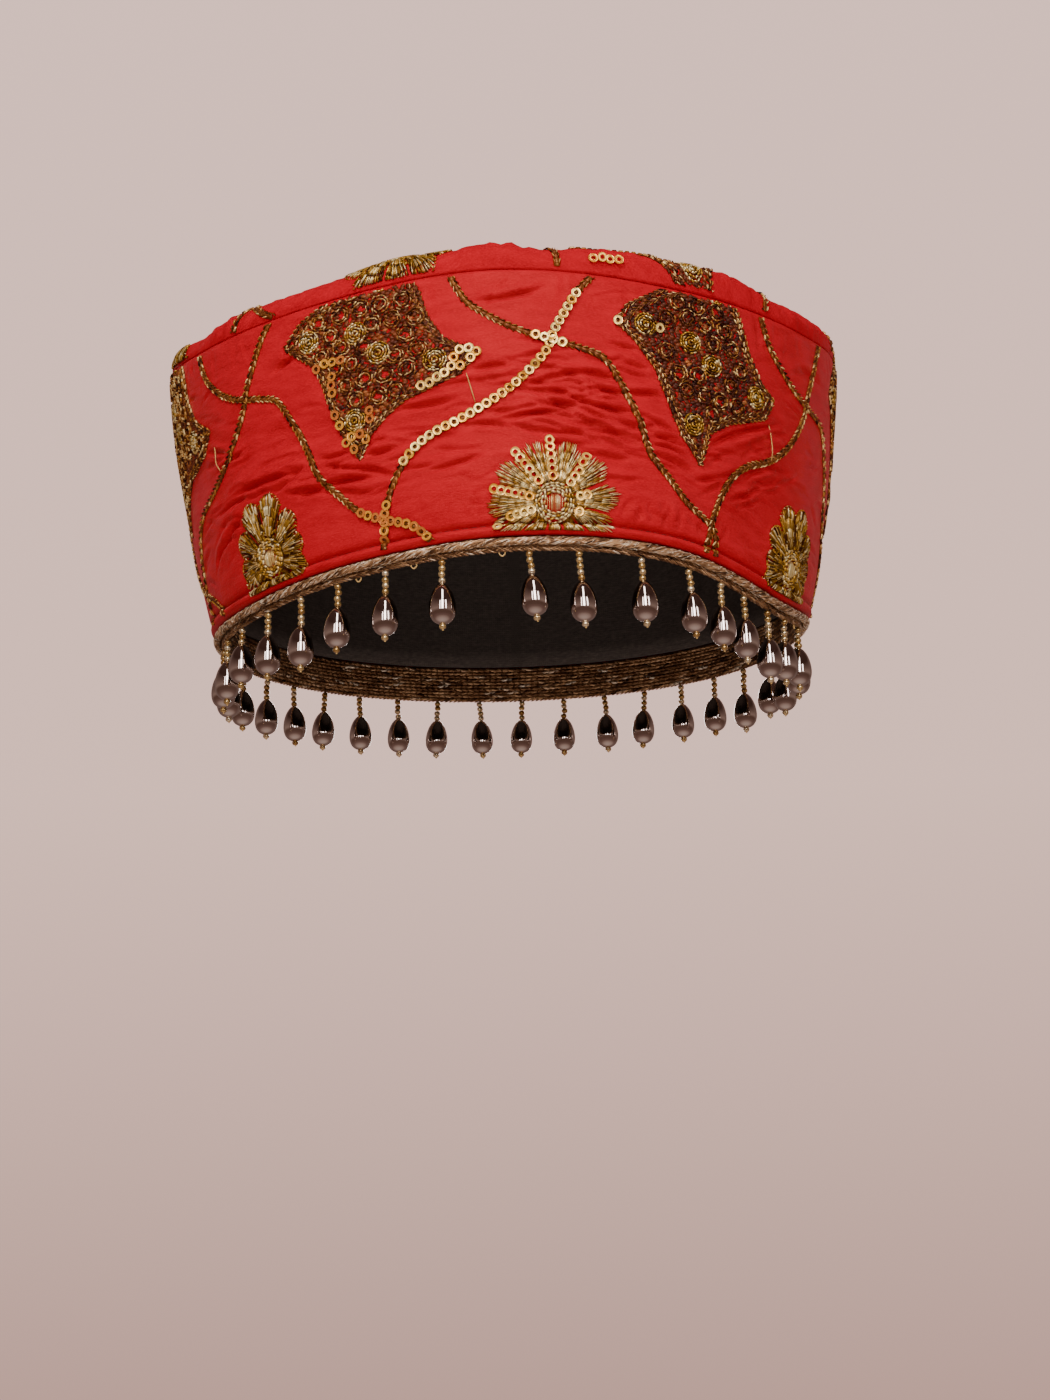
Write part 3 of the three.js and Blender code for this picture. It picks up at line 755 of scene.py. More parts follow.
sequinRows = []  # u, v, heading, raised, painted shade


def addSequins(u, v, heading, raised, paintedShade):
    sequinRows.append(rowsOf(u, v, heading, sequinChart["raised"] + raised, paintedShade))


def sequinLine(path, low, high, paintedShade):
    path = path[(path[:, 1] > low * cap["height"]) & (path[:, 1] < high * cap["height"])]
    at, heading = spacedAlong(path, sequinChart["vinePitch"])
    addSequins(*at.T, heading, 0, paintedShade)


def sequinSpots(spots, u, v):
    spots = np.array(spots)
    turn = chance.uniform(0, 6, len(spots))
    # spots low on the left of a kite get painted shade
    addSequins(spots[:, 0] + u, spots[:, 1] + v, turn, 0.15,
               sequinChart["paintedShade"] * ((spots[:, 0] < 5) & (spots[:, 1] < 5)))


def shifted(rows, u, v):
    moved = rows.copy()
    moved[:, 0] += u
    moved[:, 1] += v
    return moved


repeats = bandPattern["repeats"]
kiteUp, flowerUp = bandPattern["kiteUp"], bandPattern["flowerUp"]
lastTail = None  # the vine that ends where the next one starts
for k, (top, foot, middle, kind, tail, sequined) in enumerate(repeats):
    ending = [(1 + 0.6 * tail, 0.075), (1 + tail, 0.0)] if tail else bandPattern["noTail"]
    right = smoothPath([((top + s * (foot - top)) * arc, t * cap["height"])
                        for s, t in bandPattern["fallsRight"] + ending])
    before = repeats[k - 1][1] - (0 if k else 360)
    left = smoothPath([((top - s * (top - before)) * arc, t * cap["height"])
                       for s, t in bandPattern["fallsLeft"]])
    bandChart["vines"] += [chainLine(right, vineStyle), chainLine(left, vineStyle)]
    for rows, part in zip(kite(20 + k, kind), ("kites", "flowers", "kite_grounds")):
        bandChart[part].append(shifted(rows, middle * arc, kiteUp))
    flowerU = (top + bandPattern["flowerOver"]) * arc
    petals = shifted(flower(60 + k, not sequined, bandPattern["petals"]), flowerU, flowerUp)
    sameSide = (petals[:, 0] < cap["backSeam"] * arc) == (top < cap["backSeam"])
    bandChart["flowers"].append(petals[sameSide])  # cut off at the seam
    if sequined:
        sequinLine(left, 0.3, 0.93, 0)
        # sequins near the hem get painted shade
        sequinLine(left, 0.03, 0.19, sequinChart["paintedShade"])
        sequinLine(right, 0.715, 0.748, 0)
        # sequins near the hem get painted shade
        sequinLine(lastTail, 0.01, 0.175, sequinChart["paintedShade"])
        for heading, first, many in sequinChart["rays"]:
            t = np.radians(heading)
            u, v = polar(first + sequinChart["rowPitch"] * np.arange(many), t)
            addSequins(flowerU + u, flowerUp + v, t, 0.1, 0)
        sequinSpots(sequinChart["leftKite"], repeats[k - 1][2] * arc, kiteUp)
        sequinSpots(sequinChart["rightKite"], middle * arc, kiteUp)
    lastTail = right


def trimmed(rows, room):
    # stitches cut off where they pass the edge of the cloth; room is the distance inside it
    half = rows[:, 3:4] / 2 * np.stack([np.cos(rows[:, 2]), np.sin(rows[:, 2])], -1)
    tail = room(rows[:, 0] - half[:, 0], rows[:, 1] - half[:, 1])
    head = room(rows[:, 0] + half[:, 0], rows[:, 1] + half[:, 1])
    span = np.maximum(np.abs(head - tail), 1e-6)
    cutHead = np.clip(-head / span, 0, 1)
    cutTail = np.clip(-tail / span, 0, 1)
    rows[:, :2] += half * (cutTail - cutHead)[:, None]
    rows[:, 3] *= 1 - np.clip(cutHead + cutTail, 0, 1)
    return rows[rows[:, 3] > 0.7]


sewnTo = {"low": 0.9, "high": 77.2, "seam": 1, "crown": 0.9}  # how near the edges stitches come


def bandRoom(u, v):
    ends = cap["backSeam"] * arc
    sideways = np.minimum(ends - sewnTo["seam"] - u, u - ends + girth - sewnTo["seam"])
    return np.minimum(np.minimum(v - sewnTo["low"], sewnTo["high"] - v), sideways)


def roundTheBand(rows):
    # rows that run past the back seam go on at the other end of the strip
    rows = np.concatenate(rows)
    start = cap["backSeam"] * arc - girth
    rows[:, 0] = (rows[:, 0] - start) % girth + start
    return rows


bandSewn = {part: trimmed(roundTheBand(rows), bandRoom) for part, rows in bandChart.items()}

# the crown is cut from the same cloth, turned: kites and round flowers on a lattice of vines
crownLattice = {
    "flower": (-26.0, -87.0), "turn": np.radians(-32), "wide": 95.0, "long": 96.0,
    "petals": np.arange(0, 360, 36), "flowerReach": 20, "kiteReach": 34,
}


def onCrown(rows, p, q):
    # rows drawn about a lattice point, laid on the turned crown
    turn = crownLattice["turn"]
    x = rows[:, 0] + p
    y = rows[:, 1] + q
    moved = rows.copy()
    moved[:, 0] = crownLattice["flower"][0] + x * np.cos(turn) - y * np.sin(turn)
    moved[:, 1] = crownLattice["flower"][1] + x * np.sin(turn) + y * np.cos(turn)
    moved[:, 2] += turn
    return moved


def crownRoom(x, y):
    return crownReach - sewnTo["crown"] - np.hypot(x, y)


def reachesCrown(p, q, reach):
    middle = onCrown(np.zeros((1, 3)), p, q)[0]
    return crownRoom(middle[0], middle[1]) > -reach


wide, long = crownLattice["wide"], crownLattice["long"]
run = np.linspace(-240, 240, 340)
for column in range(-3, 4):
    for side in (-1, 1):
        x = column * wide + side * wide / 4 * (1 + np.cos(np.pi * run / (long / 2)))
        crownChart["vines"].append(onCrown(chainLine(np.stack([x, run], -1), vineStyle), 0, 0))
    for row in range(-3, 4):
        p, q = column * wide, row * long
        if reachesCrown(p, q, crownLattice["flowerReach"]):
            rich = flower(140 + 7 * column + row, True, crownLattice["petals"])
            crownChart["flowers"].append(onCrown(rich, p, q))
        p, q = (column + 0.5) * wide, (row + 0.5) * long
        if reachesCrown(p, q, crownLattice["kiteReach"]):
            sewnKite = kite(100 + 7 * column + row, (column + row) % 2)
            for rows, part in zip(sewnKite, ("kites", "flowers", "kite_grounds")):
                crownChart[part].append(onCrown(rows, p, q))
crownSewn = {part: trimmed(np.concatenate(rows), crownRoom) for part, rows in crownChart.items()}
print("embroidery charted")


# satin


def softened(field, spread):
    # a blur of a cloth map, spread in cells
    ways = [np.exp(-2 * (np.pi * spread * np.fft.fftfreq(n)) ** 2) for n in field.shape]
    return np.fft.ifft2(np.fft.fft2(field) * ways[0][:, None] * ways[1]).real


def pressFlat(relief, step, sewn, shift):
    # stitching stiffens the cloth: under it the creases give way to soft waves
    rows = np.concatenate(list(sewn.values()))
    cover = np.zeros(relief.shape)
    for share in np.linspace(-0.5, 0.5, 5):
        u = rows[:, 0] + share * rows[:, 3] * np.cos(rows[:, 2]) + shift
        v = rows[:, 1] + share * rows[:, 3] * np.sin(rows[:, 2]) + shift
        line = np.clip(np.round(v / step).astype(int), 0, relief.shape[1] - 1)
        cover[np.round(u / step).astype(int) % relief.shape[0], line] = 1
    cover = np.clip(4 * softened(cover, 1.3 / step), 0, 1)
    return relief * (1 - cover) + 0.7 * softened(relief, 3.5 / step) * cover


bandRelief = pressFlat(bandRelief, bandStep, bandSewn, 0)
crownRelief = pressFlat(crownRelief, crownStep, crownSewn, crownHalf)

bandStyle = {
    "edge": np.array([  # height, step in: the turned hem, the groove of its top stitching, and the seam
        (0, 0.8), (0.5, 0.1), (1.1, -0.3), (1.8, -0.45), (2.4, -0.2), (2.8, 0.5), (3.2, 1.4), (3.6, 0.7),
        (4.2, 0.16), (5, 0), (6, 0), (75.5, 0.02), (76.6, 0.1), (77.4, 0.25), (78, 0.5)]),
    "hemRows": 10, "seamRows": 3, "rowPitch": 0.42, "inside": (78, 76, 60, 44, 30, 16, 8.3, 4, 0),
    # columns stand closer over the front half, where the creases show most
    "front": 300, "behind": 124, "half": 84,
}
bandEdge = bandStyle["edge"]


def bandSurface(u, v, raised):
    relief = sampleMap(bandRelief, bandStep, u, v, True)
    return wallPoint(u / arc, v, np.interp(v, bandEdge[:, 0], bandEdge[:, 1]) - relief - raised)


half = bandStyle["half"]
roundU = arc * np.concatenate([np.linspace(-half, half, bandStyle["front"], endpoint=False),
                               np.linspace(half, 360 - half, bandStyle["behind"], endpoint=False)])
bandUps = np.concatenate([bandEdge[:bandStyle["hemRows"], 0], np.arange(6, 75.3, bandStyle["rowPitch"]),
                          bandEdge[-bandStyle["seamRows"]:, 0]])
outside = [bandSurface(roundU, np.full(len(roundU), up), 0.0) for up in bandUps]
inside = [wallPoint(roundU / arc, up, cap["wall"]) for up in bandStyle["inside"]]
rings = np.stack(outside + inside)
points, faces = skin(rings)
sideSatin = makeMesh("side_satin", points, faces, satin, "red_satin", girthUv(rings, faces, roundU))
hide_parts("side_band")


def crownSurface(x, y, raised):
    angle = np.degrees(np.arctan2(x, -y))
    run = crownReach - np.hypot(x, y)
    relief = sampleMap(crownRelief, crownStep, x + crownHalf, y + crownHalf, False)
    lift = relief * np.clip(run / 4, 0.2, 1) + raised
    inset = np.interp(run, crownRun, crownSection[:, 0]) - np.interp(run, crownRun, crownSlope[:, 1]) * lift
    up = np.interp(run, crownRun, crownSection[:, 1]) + np.interp(run, crownRun, crownSlope[:, 0]) * lift
    return crownPoint(angle, up, inset)


crownStyle = {
    "steps": 400,
    "under": [(88, 9.7), (52, 9), (20, 7.6), (8.2, 6.6), (4.2, 5.2), (2.4, 0.3)],  # step in, height
    "runs": ((0, 14, 0.6), (14, 45, 1.1), (45, crownRun[-1] - 3, 1.7)),  # from, to, pitch of the rows
}
crownSteps = crownStyle["steps"]
turn = circle(crownSteps) - np.pi
inside = np.stack([crownPoint(np.degrees(turn), up, inset) for inset, up in crownStyle["under"]])
flats = crownReach - np.concatenate([np.arange(*row) for row in crownStyle["runs"]])
outside = np.stack([crownSurface(r * np.sin(turn), -r * np.cos(turn), 0.0) for r in flats])
rings = np.concatenate([inside, outside])
points, faces = skin(rings, (inside[0].mean(0), outside[-1].mean(0)))
away = np.concatenate([100 - np.array(crownStyle["under"])[:, 0], flats])
away = np.append(np.repeat(away, crownSteps), [0, 0])
turns = np.append(np.tile(turn, len(rings)), [0, 0])
flatPoints = np.stack([away * np.sin(turns), -away * np.cos(turns)], -1) * mm
crownSatin = makeMesh("crown_satin", points, faces, crownCloth, "red_satin", flatPoints[faces])
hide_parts("crown_top")
print("satin made")


# embroidery, sewn


def spindle(places):
    # one stitch: it dives into the cloth at both ends
    rings = np.array([[(x, np.cos(t), np.sin(t)) for t in circle(3) + np.pi / 2] for x in places])
    return skin(rings, ((-1, 0, -0.8), (1, 0, -0.8)))


def surfaceFrame(surface, u, v, heading, raised):
    # middle of each stitch on the cloth, the way it runs, the way across, and outwards
    step = 0.45
    c, s = np.cos(heading) * step, np.sin(heading) * step
    ahead = unit(surface(u + c, v + s, raised) - surface(u - c, v - s, raised))
    aside = surface(u - s, v + c, raised) - surface(u + s, v - c, raised)
    out = unit(np.cross(ahead, aside))
    return surface(u, v, raised), ahead, np.cross(out, ahead), out


def sewGrains(name, surface, rows, material, slot, places=(-0.55, 0.55)):
    u, v, heading, length, width, tall, raised, tone = rows.T
    middle, ahead, aside, out = surfaceFrame(surface, u, v, heading, raised)
    base = spindle(places)
    points, faces = copies(base, middle, 0.5 * length[:, None] * ahead, 0.5 * width[:, None] * aside,
                           0.5 * tall[:, None] * out)
    return makeMesh(name, points, faces, material, slot, tone=np.repeat(np.clip(tone, 0, 1), len(base[0])))


for place, surface, chart in (("side", bandSurface, bandSewn), ("crown", crownSurface, crownSewn)):
    for part, rows in chart.items():
        thread, places = embroidery[part]
        name = place + "_" + part
        sewGrains(name, surface, rows, thread, "gold_thread", places)

sequinStyle = {
    "outer": 1.38, "middle": 1.02, "hole": 0.66, "thick": 0.1, "dish": 0.1, "sides": 16, "tilt": 0.05,
    "lap": 0.1,
}


def sewSequins(name, surface, rows):
    # dished rings, each resting with one edge on the one before
    u, v, heading, raised, paintedShade = rows.T
    many = len(rows)
    middle, ahead, aside, out = surfaceFrame(surface, u, v, heading, raised)
    lean = chance.normal(0, sequinStyle["tilt"], (many, 2))
    out = unit(out + lean[:, :1] * aside + (lean[:, 1:] - sequinStyle["lap"]) * ahead)
    aside = unit(np.cross(out, ahead))
    ahead = np.cross(aside, out)
    outer, bend, hole = sequinStyle["outer"], sequinStyle["middle"], sequinStyle["hole"]
    dish, thick = sequinStyle["dish"], sequinStyle["thick"]
    section = [(hole, dish - thick), (bend, -thick), (outer, dish - thick), (outer, dish), (bend, 0),
               (hole, dish)]
    base = skin(turned(section, sequinStyle["sides"]))
    points, faces = copies(base, middle, ahead, aside, out)
    # each sequin's tone falls by its painted shade
    tone = np.clip(chance.uniform(0.3, 1, many) - paintedShade, 0, 1)
    obj = makeMesh(name, points, faces, sequinFilm, "gold_sequin", tone=np.repeat(tone, len(base[0])))
    obj.data.set_sharp_from_angle(angle=0.7)
    return obj


sequinRows = roundTheBand(sequinRows)
sequinRows = sequinRows[bandRoom(sequinRows[:, 0], sequinRows[:, 1]) > 0]
bandSequins = sewSequins("side_sequins", bandSurface, sequinRows)
crownSequins = sewSequins("crown_sequins", crownSurface, np.array(sequinChart["crown"]))

# top stitching of the hem
topStitch = {"up": 3.2, "pitch": 2.7, "size": (2.3, 0.5, 0.55, 0.12)}  # length, width, height, rise
many = int(girth / topStitch["pitch"])
hemStitch = sewGrains("hem_stitches", bandSurface, stitches(
    np.arange(many) * girth / many - girth / 2, topStitch["up"], chance.normal(0, 0.03, many),
    *topStitch["size"], chance.uniform(0, 1, many)), redThread, "red_satin")
print("embroidery sewn")


# lining, tape and cord

liningStyle = {
    "steps": 160, "outside": 3.0, "inside": 4.0, "rowMm": 6.0, "topDrop": 1, "topStep": 0.6,
    "wall": np.concatenate([[8.3], np.arange(14, 74.1, 6)]),  # heights
    "top": [(5.6, 3.4), (9.6, 5.4), (21, 6.5), (36, 7.2), (53, 7.9), (70, 8.3), (88, 8.6)],  # step in, height
}
angles = degreesRound(liningStyle["steps"])
outer = [wallPoint(angles, up, liningStyle["outside"]) for up in liningStyle["wall"]]
inner = [wallPoint(angles, up, liningStyle["inside"]) for up in liningStyle["wall"]]
for inset, up in liningStyle["top"]:
    outer.append(crownPoint(angles, up, inset))
    inner.append(crownPoint(angles, up - liningStyle["topDrop"], inset + liningStyle["topStep"]))
rings = np.stack(inner[::-1] + outer)
points, faces = skin(rings, (inner[-1].mean(0), outer[-1].mean(0)))
uv = rowsOf(angles * arc, liningStyle["rowMm"] * np.arange(len(rings))[:, None]).reshape(-1, 2)
uv = np.concatenate([uv, [(0, 0), (0, 0)]]) * mm
liningCotton = makeMesh("lining_cotton", points, faces, cotton, "dark_lining", uv[faces])
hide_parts("lining")

tapeStyle = {
    "steps": 240, "outside": 2.6, "inside": 3.4, "tone": 0.25,
    "section": [(-3.6, 2.7), (-2, 2.6), (0, 2.6), (4, 2.6), (8, 2.6), (8, 3.4), (4, 3.4), (0, 3.4), (-2, 3.4),
                (-3.6, 3.3)],  # height, step in
    # heights of the yarns, then their pitch, length, width and slant
    "insideYarns": (np.arange(-3.1, 8, 1.15), 2.3, 4.2, 1.1, 0.16),
    "outsideYarns": ((-3.5, -3.0, -2.5, -2.0), 1.7, 3.2, 0.6, 0.3),
}
angles = degreesRound(tapeStyle["steps"])
points, faces = skin(np.stack([wallPoint(angles, up, inset) for up, inset in tapeStyle["section"]]))
tapeGround = makeMesh("tape_ground", points, faces, braidThread, "bronze_braid",
                      tone=np.full(len(points), tapeStyle["tone"]))
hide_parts("rim_tape")


def tapeInside(u, v, raised):
    return wallPoint(u / arc, v, tapeStyle["inside"] + raised)


def tapeOutside(u, v, raised):
    return wallPoint(u / arc, v, tapeStyle["outside"] - raised)


def yarnRows(ups, pitch, length, width, turn):
    rows = []
    many = int(girth / pitch)
    for k, up in enumerate(ups):
        u = (np.arange(many) + 0.5 * (k % 2)) * girth / many - girth / 2
        heading = (turn if k % 2 else -turn) + chance.normal(0, 0.05, many)
        tone = np.clip(chance.normal(0.5, 0.22, many), 0, 1)
        rows.append(stitches(u, up, heading, length, width, 0.7, 0.0, tone))
    return np.concatenate(rows)


for name, surface in (("inside", tapeInside), ("outside", tapeOutside)):
    rows = yarnRows(*tapeStyle[name + "Yarns"])
    sewGrains("tape_yarns_" + name, surface, rows, braidThread, "bronze_braid")

cordStyle = {
    "up": -1.5, "inset": 1.0, "core": 0.78, "strands": 14, "orbit": 0.9, "thick": 0.21, "turnMm": 15,
    "perTurn": 15, "shorter": 0.93, "glints": 2600, "glintSize": (0.22, 0.24, 0.02),  # width, height, rise
}


def roundCord(angle, phase, reach):
    # places about the cord's middle; the phase turns round it
    turn = np.radians(angle)
    radial = np.stack([np.sin(turn), -np.cos(turn), np.zeros(len(turn))], -1)
    upward = np.array([0, 0, 1.0])
    middle = wallPoint(angle, cordStyle["up"], cordStyle["inset"])
    return middle + reach * (np.cos(phase)[:, None] * radial + np.sin(phase)[:, None] * upward)


def cordSurface(u, v, raised):
    # u along the cord, v round it in radians
    return roundCord(u / arc, v, (cordStyle["orbit"] + cordStyle["thick"] + raised)[:, None])


many = int(round(girth * cordStyle["shorter"] / cordStyle["turnMm"])) * cordStyle["perTurn"]
angles = degreesRound(many)
parts = [skin(tube(wallPoint(angles, cordStyle["up"], cordStyle["inset"]), cordStyle["core"], 6, True))]
# the core shows only in the gaps between the strands and takes a dark tone: painted shade
tones = [np.full(len(parts[0][0]), 0.1)]
for strand in range(cordStyle["strands"]):
    phase = np.arange(many) * 2 * np.pi / cordStyle["perTurn"] + strand * 2 * np.pi / cordStyle["strands"]
    parts.append(skin(tube(roundCord(angles, phase, cordStyle["orbit"]), cordStyle["thick"], 4, True)))
    glow = chance.uniform(-0.1, 0.55)  # film or core thread, with painted flashes along it
    tones.append(np.repeat(np.clip(glow + 0.8 * chance.uniform(0, 1, many) ** 2, 0, 1), 4))
rimCord = makeMesh("cord_strands", *joined(parts), braidThread, "bronze_braid", tone=np.concatenate(tones))
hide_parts("rim_cord")

many = cordStyle["glints"]  # ends of flat film that stand off the twist, toned bright: painted glints
sewGrains("cord_glints", cordSurface, stitches(
    chance.uniform(-girth / 2, girth / 2, many), chance.uniform(-2.4, 1.6, many),
    chance.normal(0.35, 0.3, many), chance.uniform(1.0, 2.6, many), *cordStyle["glintSize"],
    chance.uniform(0.4, 1.3, many)),
    braidThread, "bronze_braid", (0,))
print("lining, tape and cord made")


# fringe of drops

dropStyle = {
    "seedPitch": 1.65, "seedRadius": 1.03, "seedLength": 1.55, "seedHole": 0.3, "seedSides": 12, "sway": 0.06,
    "tearLength": 11.6, "tearRadius": 3.75, "tearSides": 24, "endLength": 1.6, "endLift": 0.3,
    # the thread: radius, start above the beads, stop above the foot, then its turn along and aside
    "thread": 0.2, "threadUp": 1.2, "threadStop": 0.7, "threadTurn": (0.3, 0.2),
    # the teardrop from its neck to its foot: share of the length, share of the radius
    "tear": [(0, 0.16), (0.03, 0.31), (0.08, 0.46), (0.17, 0.655), (0.3, 0.83), (0.45, 0.95), (0.6, 1.0),
             (0.73, 0.965), (0.83, 0.865), (0.91, 0.69), (0.96, 0.48), (0.99, 0.26), (1.0, 0.12)],
    # loops of thread where a drop is lost: where, then the line of one, sideways and down
    "loops": (-28.5, -17.5, -1.5, 72), "loopFrom": (-3.4, 3.0),
    "loop": [(-0.7, 0), (-0.8, 0.9), (0, 1.6), (0.8, 0.8), (0.5, 0)],
}


def lathe(profile, sides):
    # a turned form about -Z from its top, closed at both ends
    rings = turned([(r, -z) for z, r in profile[::-1]], sides)
    return skin(rings, ((0, 0, -profile[-1][0]), (0, 0, -profile[0][0])))


def hung(base, origins, ways):
    # copies of a turned form hung from points along given directions
    across = unit(np.cross(ways, np.array([0.3, 0.8, 0.1])))
    return copies(base, origins, across, np.cross(-ways, across), -ways)


names = sorted(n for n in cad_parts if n.startswith("drop_"))
tops, ways, longs = [], [], []
for name in names:
    co = np.array([v.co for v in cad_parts[name].data.vertices], float) / mm
    middle = co.mean(0)
    way = np.linalg.svd(co - middle)[2][0]
    way = way * -np.sign(way[2])
    off = (co - middle) @ way
    tops.append(middle + way * off.min())
    ways.append(way)
    longs.append(off.max() - off.min())
tops, ways, longs = np.array(tops), np.array(ways), np.array(longs)
strings = longs - dropStyle["tearLength"] - dropStyle["endLength"]
seedCounts = np.round(strings / dropStyle["seedPitch"]).astype(int)
profile = smoothPath(dropStyle["tear"], 2) * (dropStyle["tearLength"], dropStyle["tearRadius"])
points, faces = hung(lathe(profile, dropStyle["tearSides"]),
                     tops + ways * (seedCounts * dropStyle["seedPitch"])[:, None], ways)
teardrops = makeMesh("fringe_teardrops", points, faces, silvered, "silvered_bead")
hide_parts(*names)

long, hole = dropStyle["seedLength"], dropStyle["seedHole"]
seedProfile = [(long / 2 * (1 + x), dropStyle["seedRadius"] * (1 - abs(x) ** 2.6 * 0.42))
               for x in np.linspace(-1, 1, 6)]
seed = lathe(np.array([(0.02, hole)] + seedProfile + [(long - 0.02, hole)]), dropStyle["seedSides"])
origins = []
beadWays = []
for top, way, count in zip(tops, ways, seedCounts):
    for k in range(count):
        sway = way + chance.normal(0, dropStyle["sway"], 3)
        origins.append(top + way * (k * dropStyle["seedPitch"] + 0.08) + chance.normal(0, 0.06, 3))
        beadWays.append(unit(sway))
for top, way, long in zip(tops, ways, longs):
    origins.append(top + way * (long - dropStyle["endLength"] - dropStyle["endLift"]))
    beadWays.append(way)
points, faces = hung(seed, np.array(origins), np.array(beadWays))
makeMesh("fringe_seed_beads", points, faces, seedGlass, "gold_seed_bead",
         tone=np.repeat(chance.uniform(0, 1, len(origins)), len(seed[0])))

parts = []
for top, way, long in zip(tops, ways, longs):
    # thread from the tape through the beads, with a small turn under the end bead
    end = top + way * (long - dropStyle["threadStop"])
    on, aside = dropStyle["threadTurn"]
    path = smoothPath([top - way * dropStyle["threadUp"], top, top + way * long * 0.5, end,
                       end + way * on + (aside, 0, 0)], 4)
    parts.append(threadAlong(path, dropStyle["thread"]))
for angle in dropStyle["loops"]:
    top = wallPoint(angle, *dropStyle["loopFrom"])
    side = np.array([np.cos(np.radians(angle)), np.sin(np.radians(angle)), 0])
    path = smoothPath([top + side * over - (0, 0, down) for over, down in dropStyle["loop"]], 5)
    parts.append(threadAlong(path, dropStyle["thread"]))
points, faces = joined(parts)
makeMesh("fringe_threads", points, faces, beadThread, "gold_seed_bead", tone=np.full(len(points), 0.6))

# loose jumps of thread between motifs of the band: angle and height of both ends
jumpStyle = {
    "ends": ((-6, 47.2, -4.8, 38.5), (49, 45.8, 50.2, 34.5), (-57.2, 47.5, -56.5, 39.8)),
    "radius": 0.17, "raised": np.array([0.0, 0.8, 0.8, 0.0]), "tone": 0.8,
}
parts = []
for a, b, c, d in jumpStyle["ends"]:
    path = bandSurface(np.array([a, 0.7 * a + 0.3 * c, 0.3 * a + 0.7 * c, c]) * arc,
                       np.array([b, 0.7 * b + 0.3 * d, 0.3 * b + 0.7 * d, d]), jumpStyle["raised"])
    parts.append(threadAlong(smoothPath(path, 5), jumpStyle["radius"]))
points, faces = joined(parts)
bandJumps = makeMesh("side_loose_threads", points, faces, bronzeThread, "gold_thread",
                     tone=np.full(len(points), jumpStyle["tone"]))
print("fringe strung")


# stage, light and camera

stage = {
    "low": "#9a7a71", "eye": "#d0aca1", "high": "#d6b4aa", "glow": 1.8, "sides": 72,
    "section": [(0.01, -1.0), (1.4, -1.0), (2.6, -0.98), (3.5, -0.6), (4.0, 0.4), (3.9, 1.8), (3.0, 3.2),
                (1.4, 4.0), (0.01, 4.15)],  # radius and height in metres
    # the air from straight below to straight above, as the beads mirror it
    "air": [(0.0, "#e6ccc0"), (0.07, "#d0b4a8"), (0.2, "#94746a"), (0.34, "#7c5e53"), (0.45, "#785a4e"),
            (0.54, "#b4988c"), (0.64, "#94786e"), (0.78, "#543a32"), (1.0, "#5e443d")],
    "behind": "#947a72", "airStrength": 0.6,
}
profile = smoothPath(stage["section"], 5)
points, faces = skin(turned(profile, stage["sides"]), ((0, 0, profile[0][1]), (0, 0, profile[-1][1])))
bowl = newObject("studio_bowl", points, faces[:, ::-1])
paper, tree, shader = newMaterial("seamless studio paper, glowing, painted darker low down", {
    "Base Color": colour("#1c1a19"), "Roughness": 0.95, "IOR": 1.5, "Emission Strength": stage["glow"]})


def placeParts(tree, source, output):
    # the three parts of a place or a direction
    where = addNode(tree, source)
    return addNode(tree, "ShaderNodeSeparateXYZ", {}, {"Vector": where.outputs[output]}).outputs


# the paper glows by itself to stand evenly bright, darker towards the floor: painted shade
share = ranged(tree, placeParts(tree, "ShaderNodeNewGeometry", "Position")["Z"], -1.0, 2.2)
glow = colourRamp(tree, share, [(0.1, stage["low"]), (0.5, stage["eye"]), (1.0, stage["high"])])
tree.links.new(glow, shader.inputs["Emission Color"])
bowl.data.materials.append(paper)
for ray in ("diffuse", "glossy", "transmission", "shadow"):
    setattr(bowl, "visible_" + ray, False)

world = bpy.data.worlds.new("studio air")
bpy.context.scene.world = world
world.use_nodes = True
tree = world.node_tree
parts = placeParts(tree, "ShaderNodeTexCoord", "Generated")
air = colourRamp(tree, ranged(tree, parts["Z"], -1.0, 1.0), stage["air"])
room = addNode(tree, "ShaderNodeMix", {7: colour(stage["behind"])},
               {0: ranged(tree, parts["Y"], 0.2, 0.7), 6: air}, data_type="RGBA")
back = tree.nodes["Background"]
back.inputs["Strength"].default_value = stage["airStrength"]
tree.links.new(room.outputs[2], back.inputs["Color"])

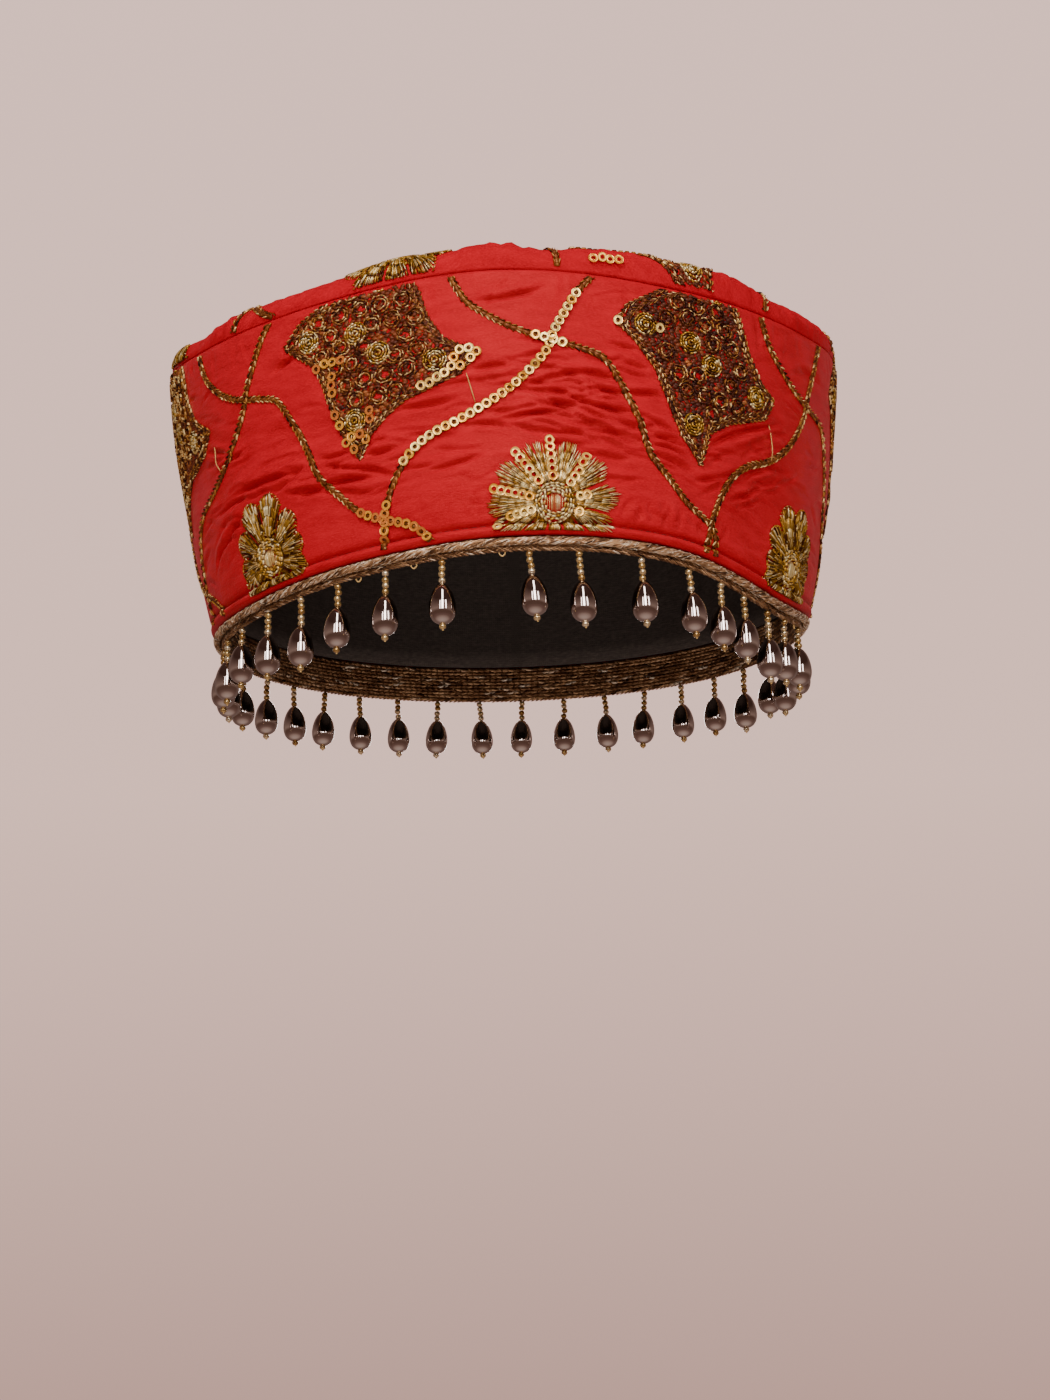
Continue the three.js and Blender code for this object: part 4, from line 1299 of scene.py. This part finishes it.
lights = [  # name, place, size, power, colour, whether it shows in mirrors
    ("window", (0.05, -1.7, 0.5), (0.42, 1.0), 12.5, "#fff8f6", True),
    ("window left", (-0.56, -1.65, 0.42), (0.16, 0.9), 3.4, "#fff4f0", True),
    ("window right", (0.86, -1.5, 0.5), (0.3, 0.9), 4.5, "#fff6f4", True),
    ("window above", (0.05, -1.12, 1.27), (0.3, 0.9), 6.5, "#fff8f6", True),
    ("key", (-0.5, -1.1, 1.2), (0.4, 0.4), 20, "#fff6f4", False),
    ("fill", (-1.4, -1.3, 0.2), (1.2, 1.2), 7, "#fff2f0", False),
    ("right side", (1.6, -0.5, 0.3), (0.6, 1.2), 8, "#fff2f0", False),
    ("floor bounce", (0.0, -0.7, -0.9), (1.2, 1.0), 7, "#fff0e8", False),
    ("back window", (0.0, 1.7, 0.5), (0.3, 0.8), 6, "#fff4f0", True),
    ("back left", (-1.0, 1.5, 0.7), (1.0, 1.0), 15, "#fff4f0", False),
    ("back right", (1.2, 1.4, 0.4), (1.0, 1.0), 14, "#fff4f0", False),
]
for name, place, size, power, tint, mirrored in lights:
    lamp = bpy.data.lights.new(name, "AREA")
    lamp.shape = "RECTANGLE"
    lamp.size, lamp.size_y = size
    lamp.energy = power
    lamp.color = colour(tint)[:3]
    obj = bpy.data.objects.new(name, lamp)
    obj.location = place
    obj.rotation_euler = (Vector((0, 0, 0.02)) - Vector(place)).to_track_quat("-Z", "Y").to_euler()
    obj.visible_camera = False
    obj.visible_glossy = mirrored
    bpy.context.scene.collection.objects.link(obj)

# the photo's view: from the front, a little under the rim
view = {"place": (0, -0.7405, -0.171), "rise": 0.1985, "turn": 0.005, "roll": -0.016, "lens": 63.34}
level = np.cos(view["rise"])
forward = Vector((np.sin(view["turn"]) * level, np.cos(view["turn"]) * level, np.sin(view["rise"])))
right = forward.cross(Vector((0, 0, 1))).normalized()
upward = right.cross(forward)
across = right * np.cos(view["roll"]) + upward * np.sin(view["roll"])
upward = upward * np.cos(view["roll"]) - right * np.sin(view["roll"])
lens = bpy.data.cameras.new("photo view")
lens.lens = view["lens"]
lens.sensor_width = 36
lens.sensor_fit = "AUTO"
camera = bpy.data.objects.new("photo view", lens)
camera.matrix_world = Matrix((across, upward, -forward)).transposed().to_4x4()
camera.location = view["place"]
bpy.context.scene.collection.objects.link(camera)
bpy.context.scene.camera = camera
print("stage set")
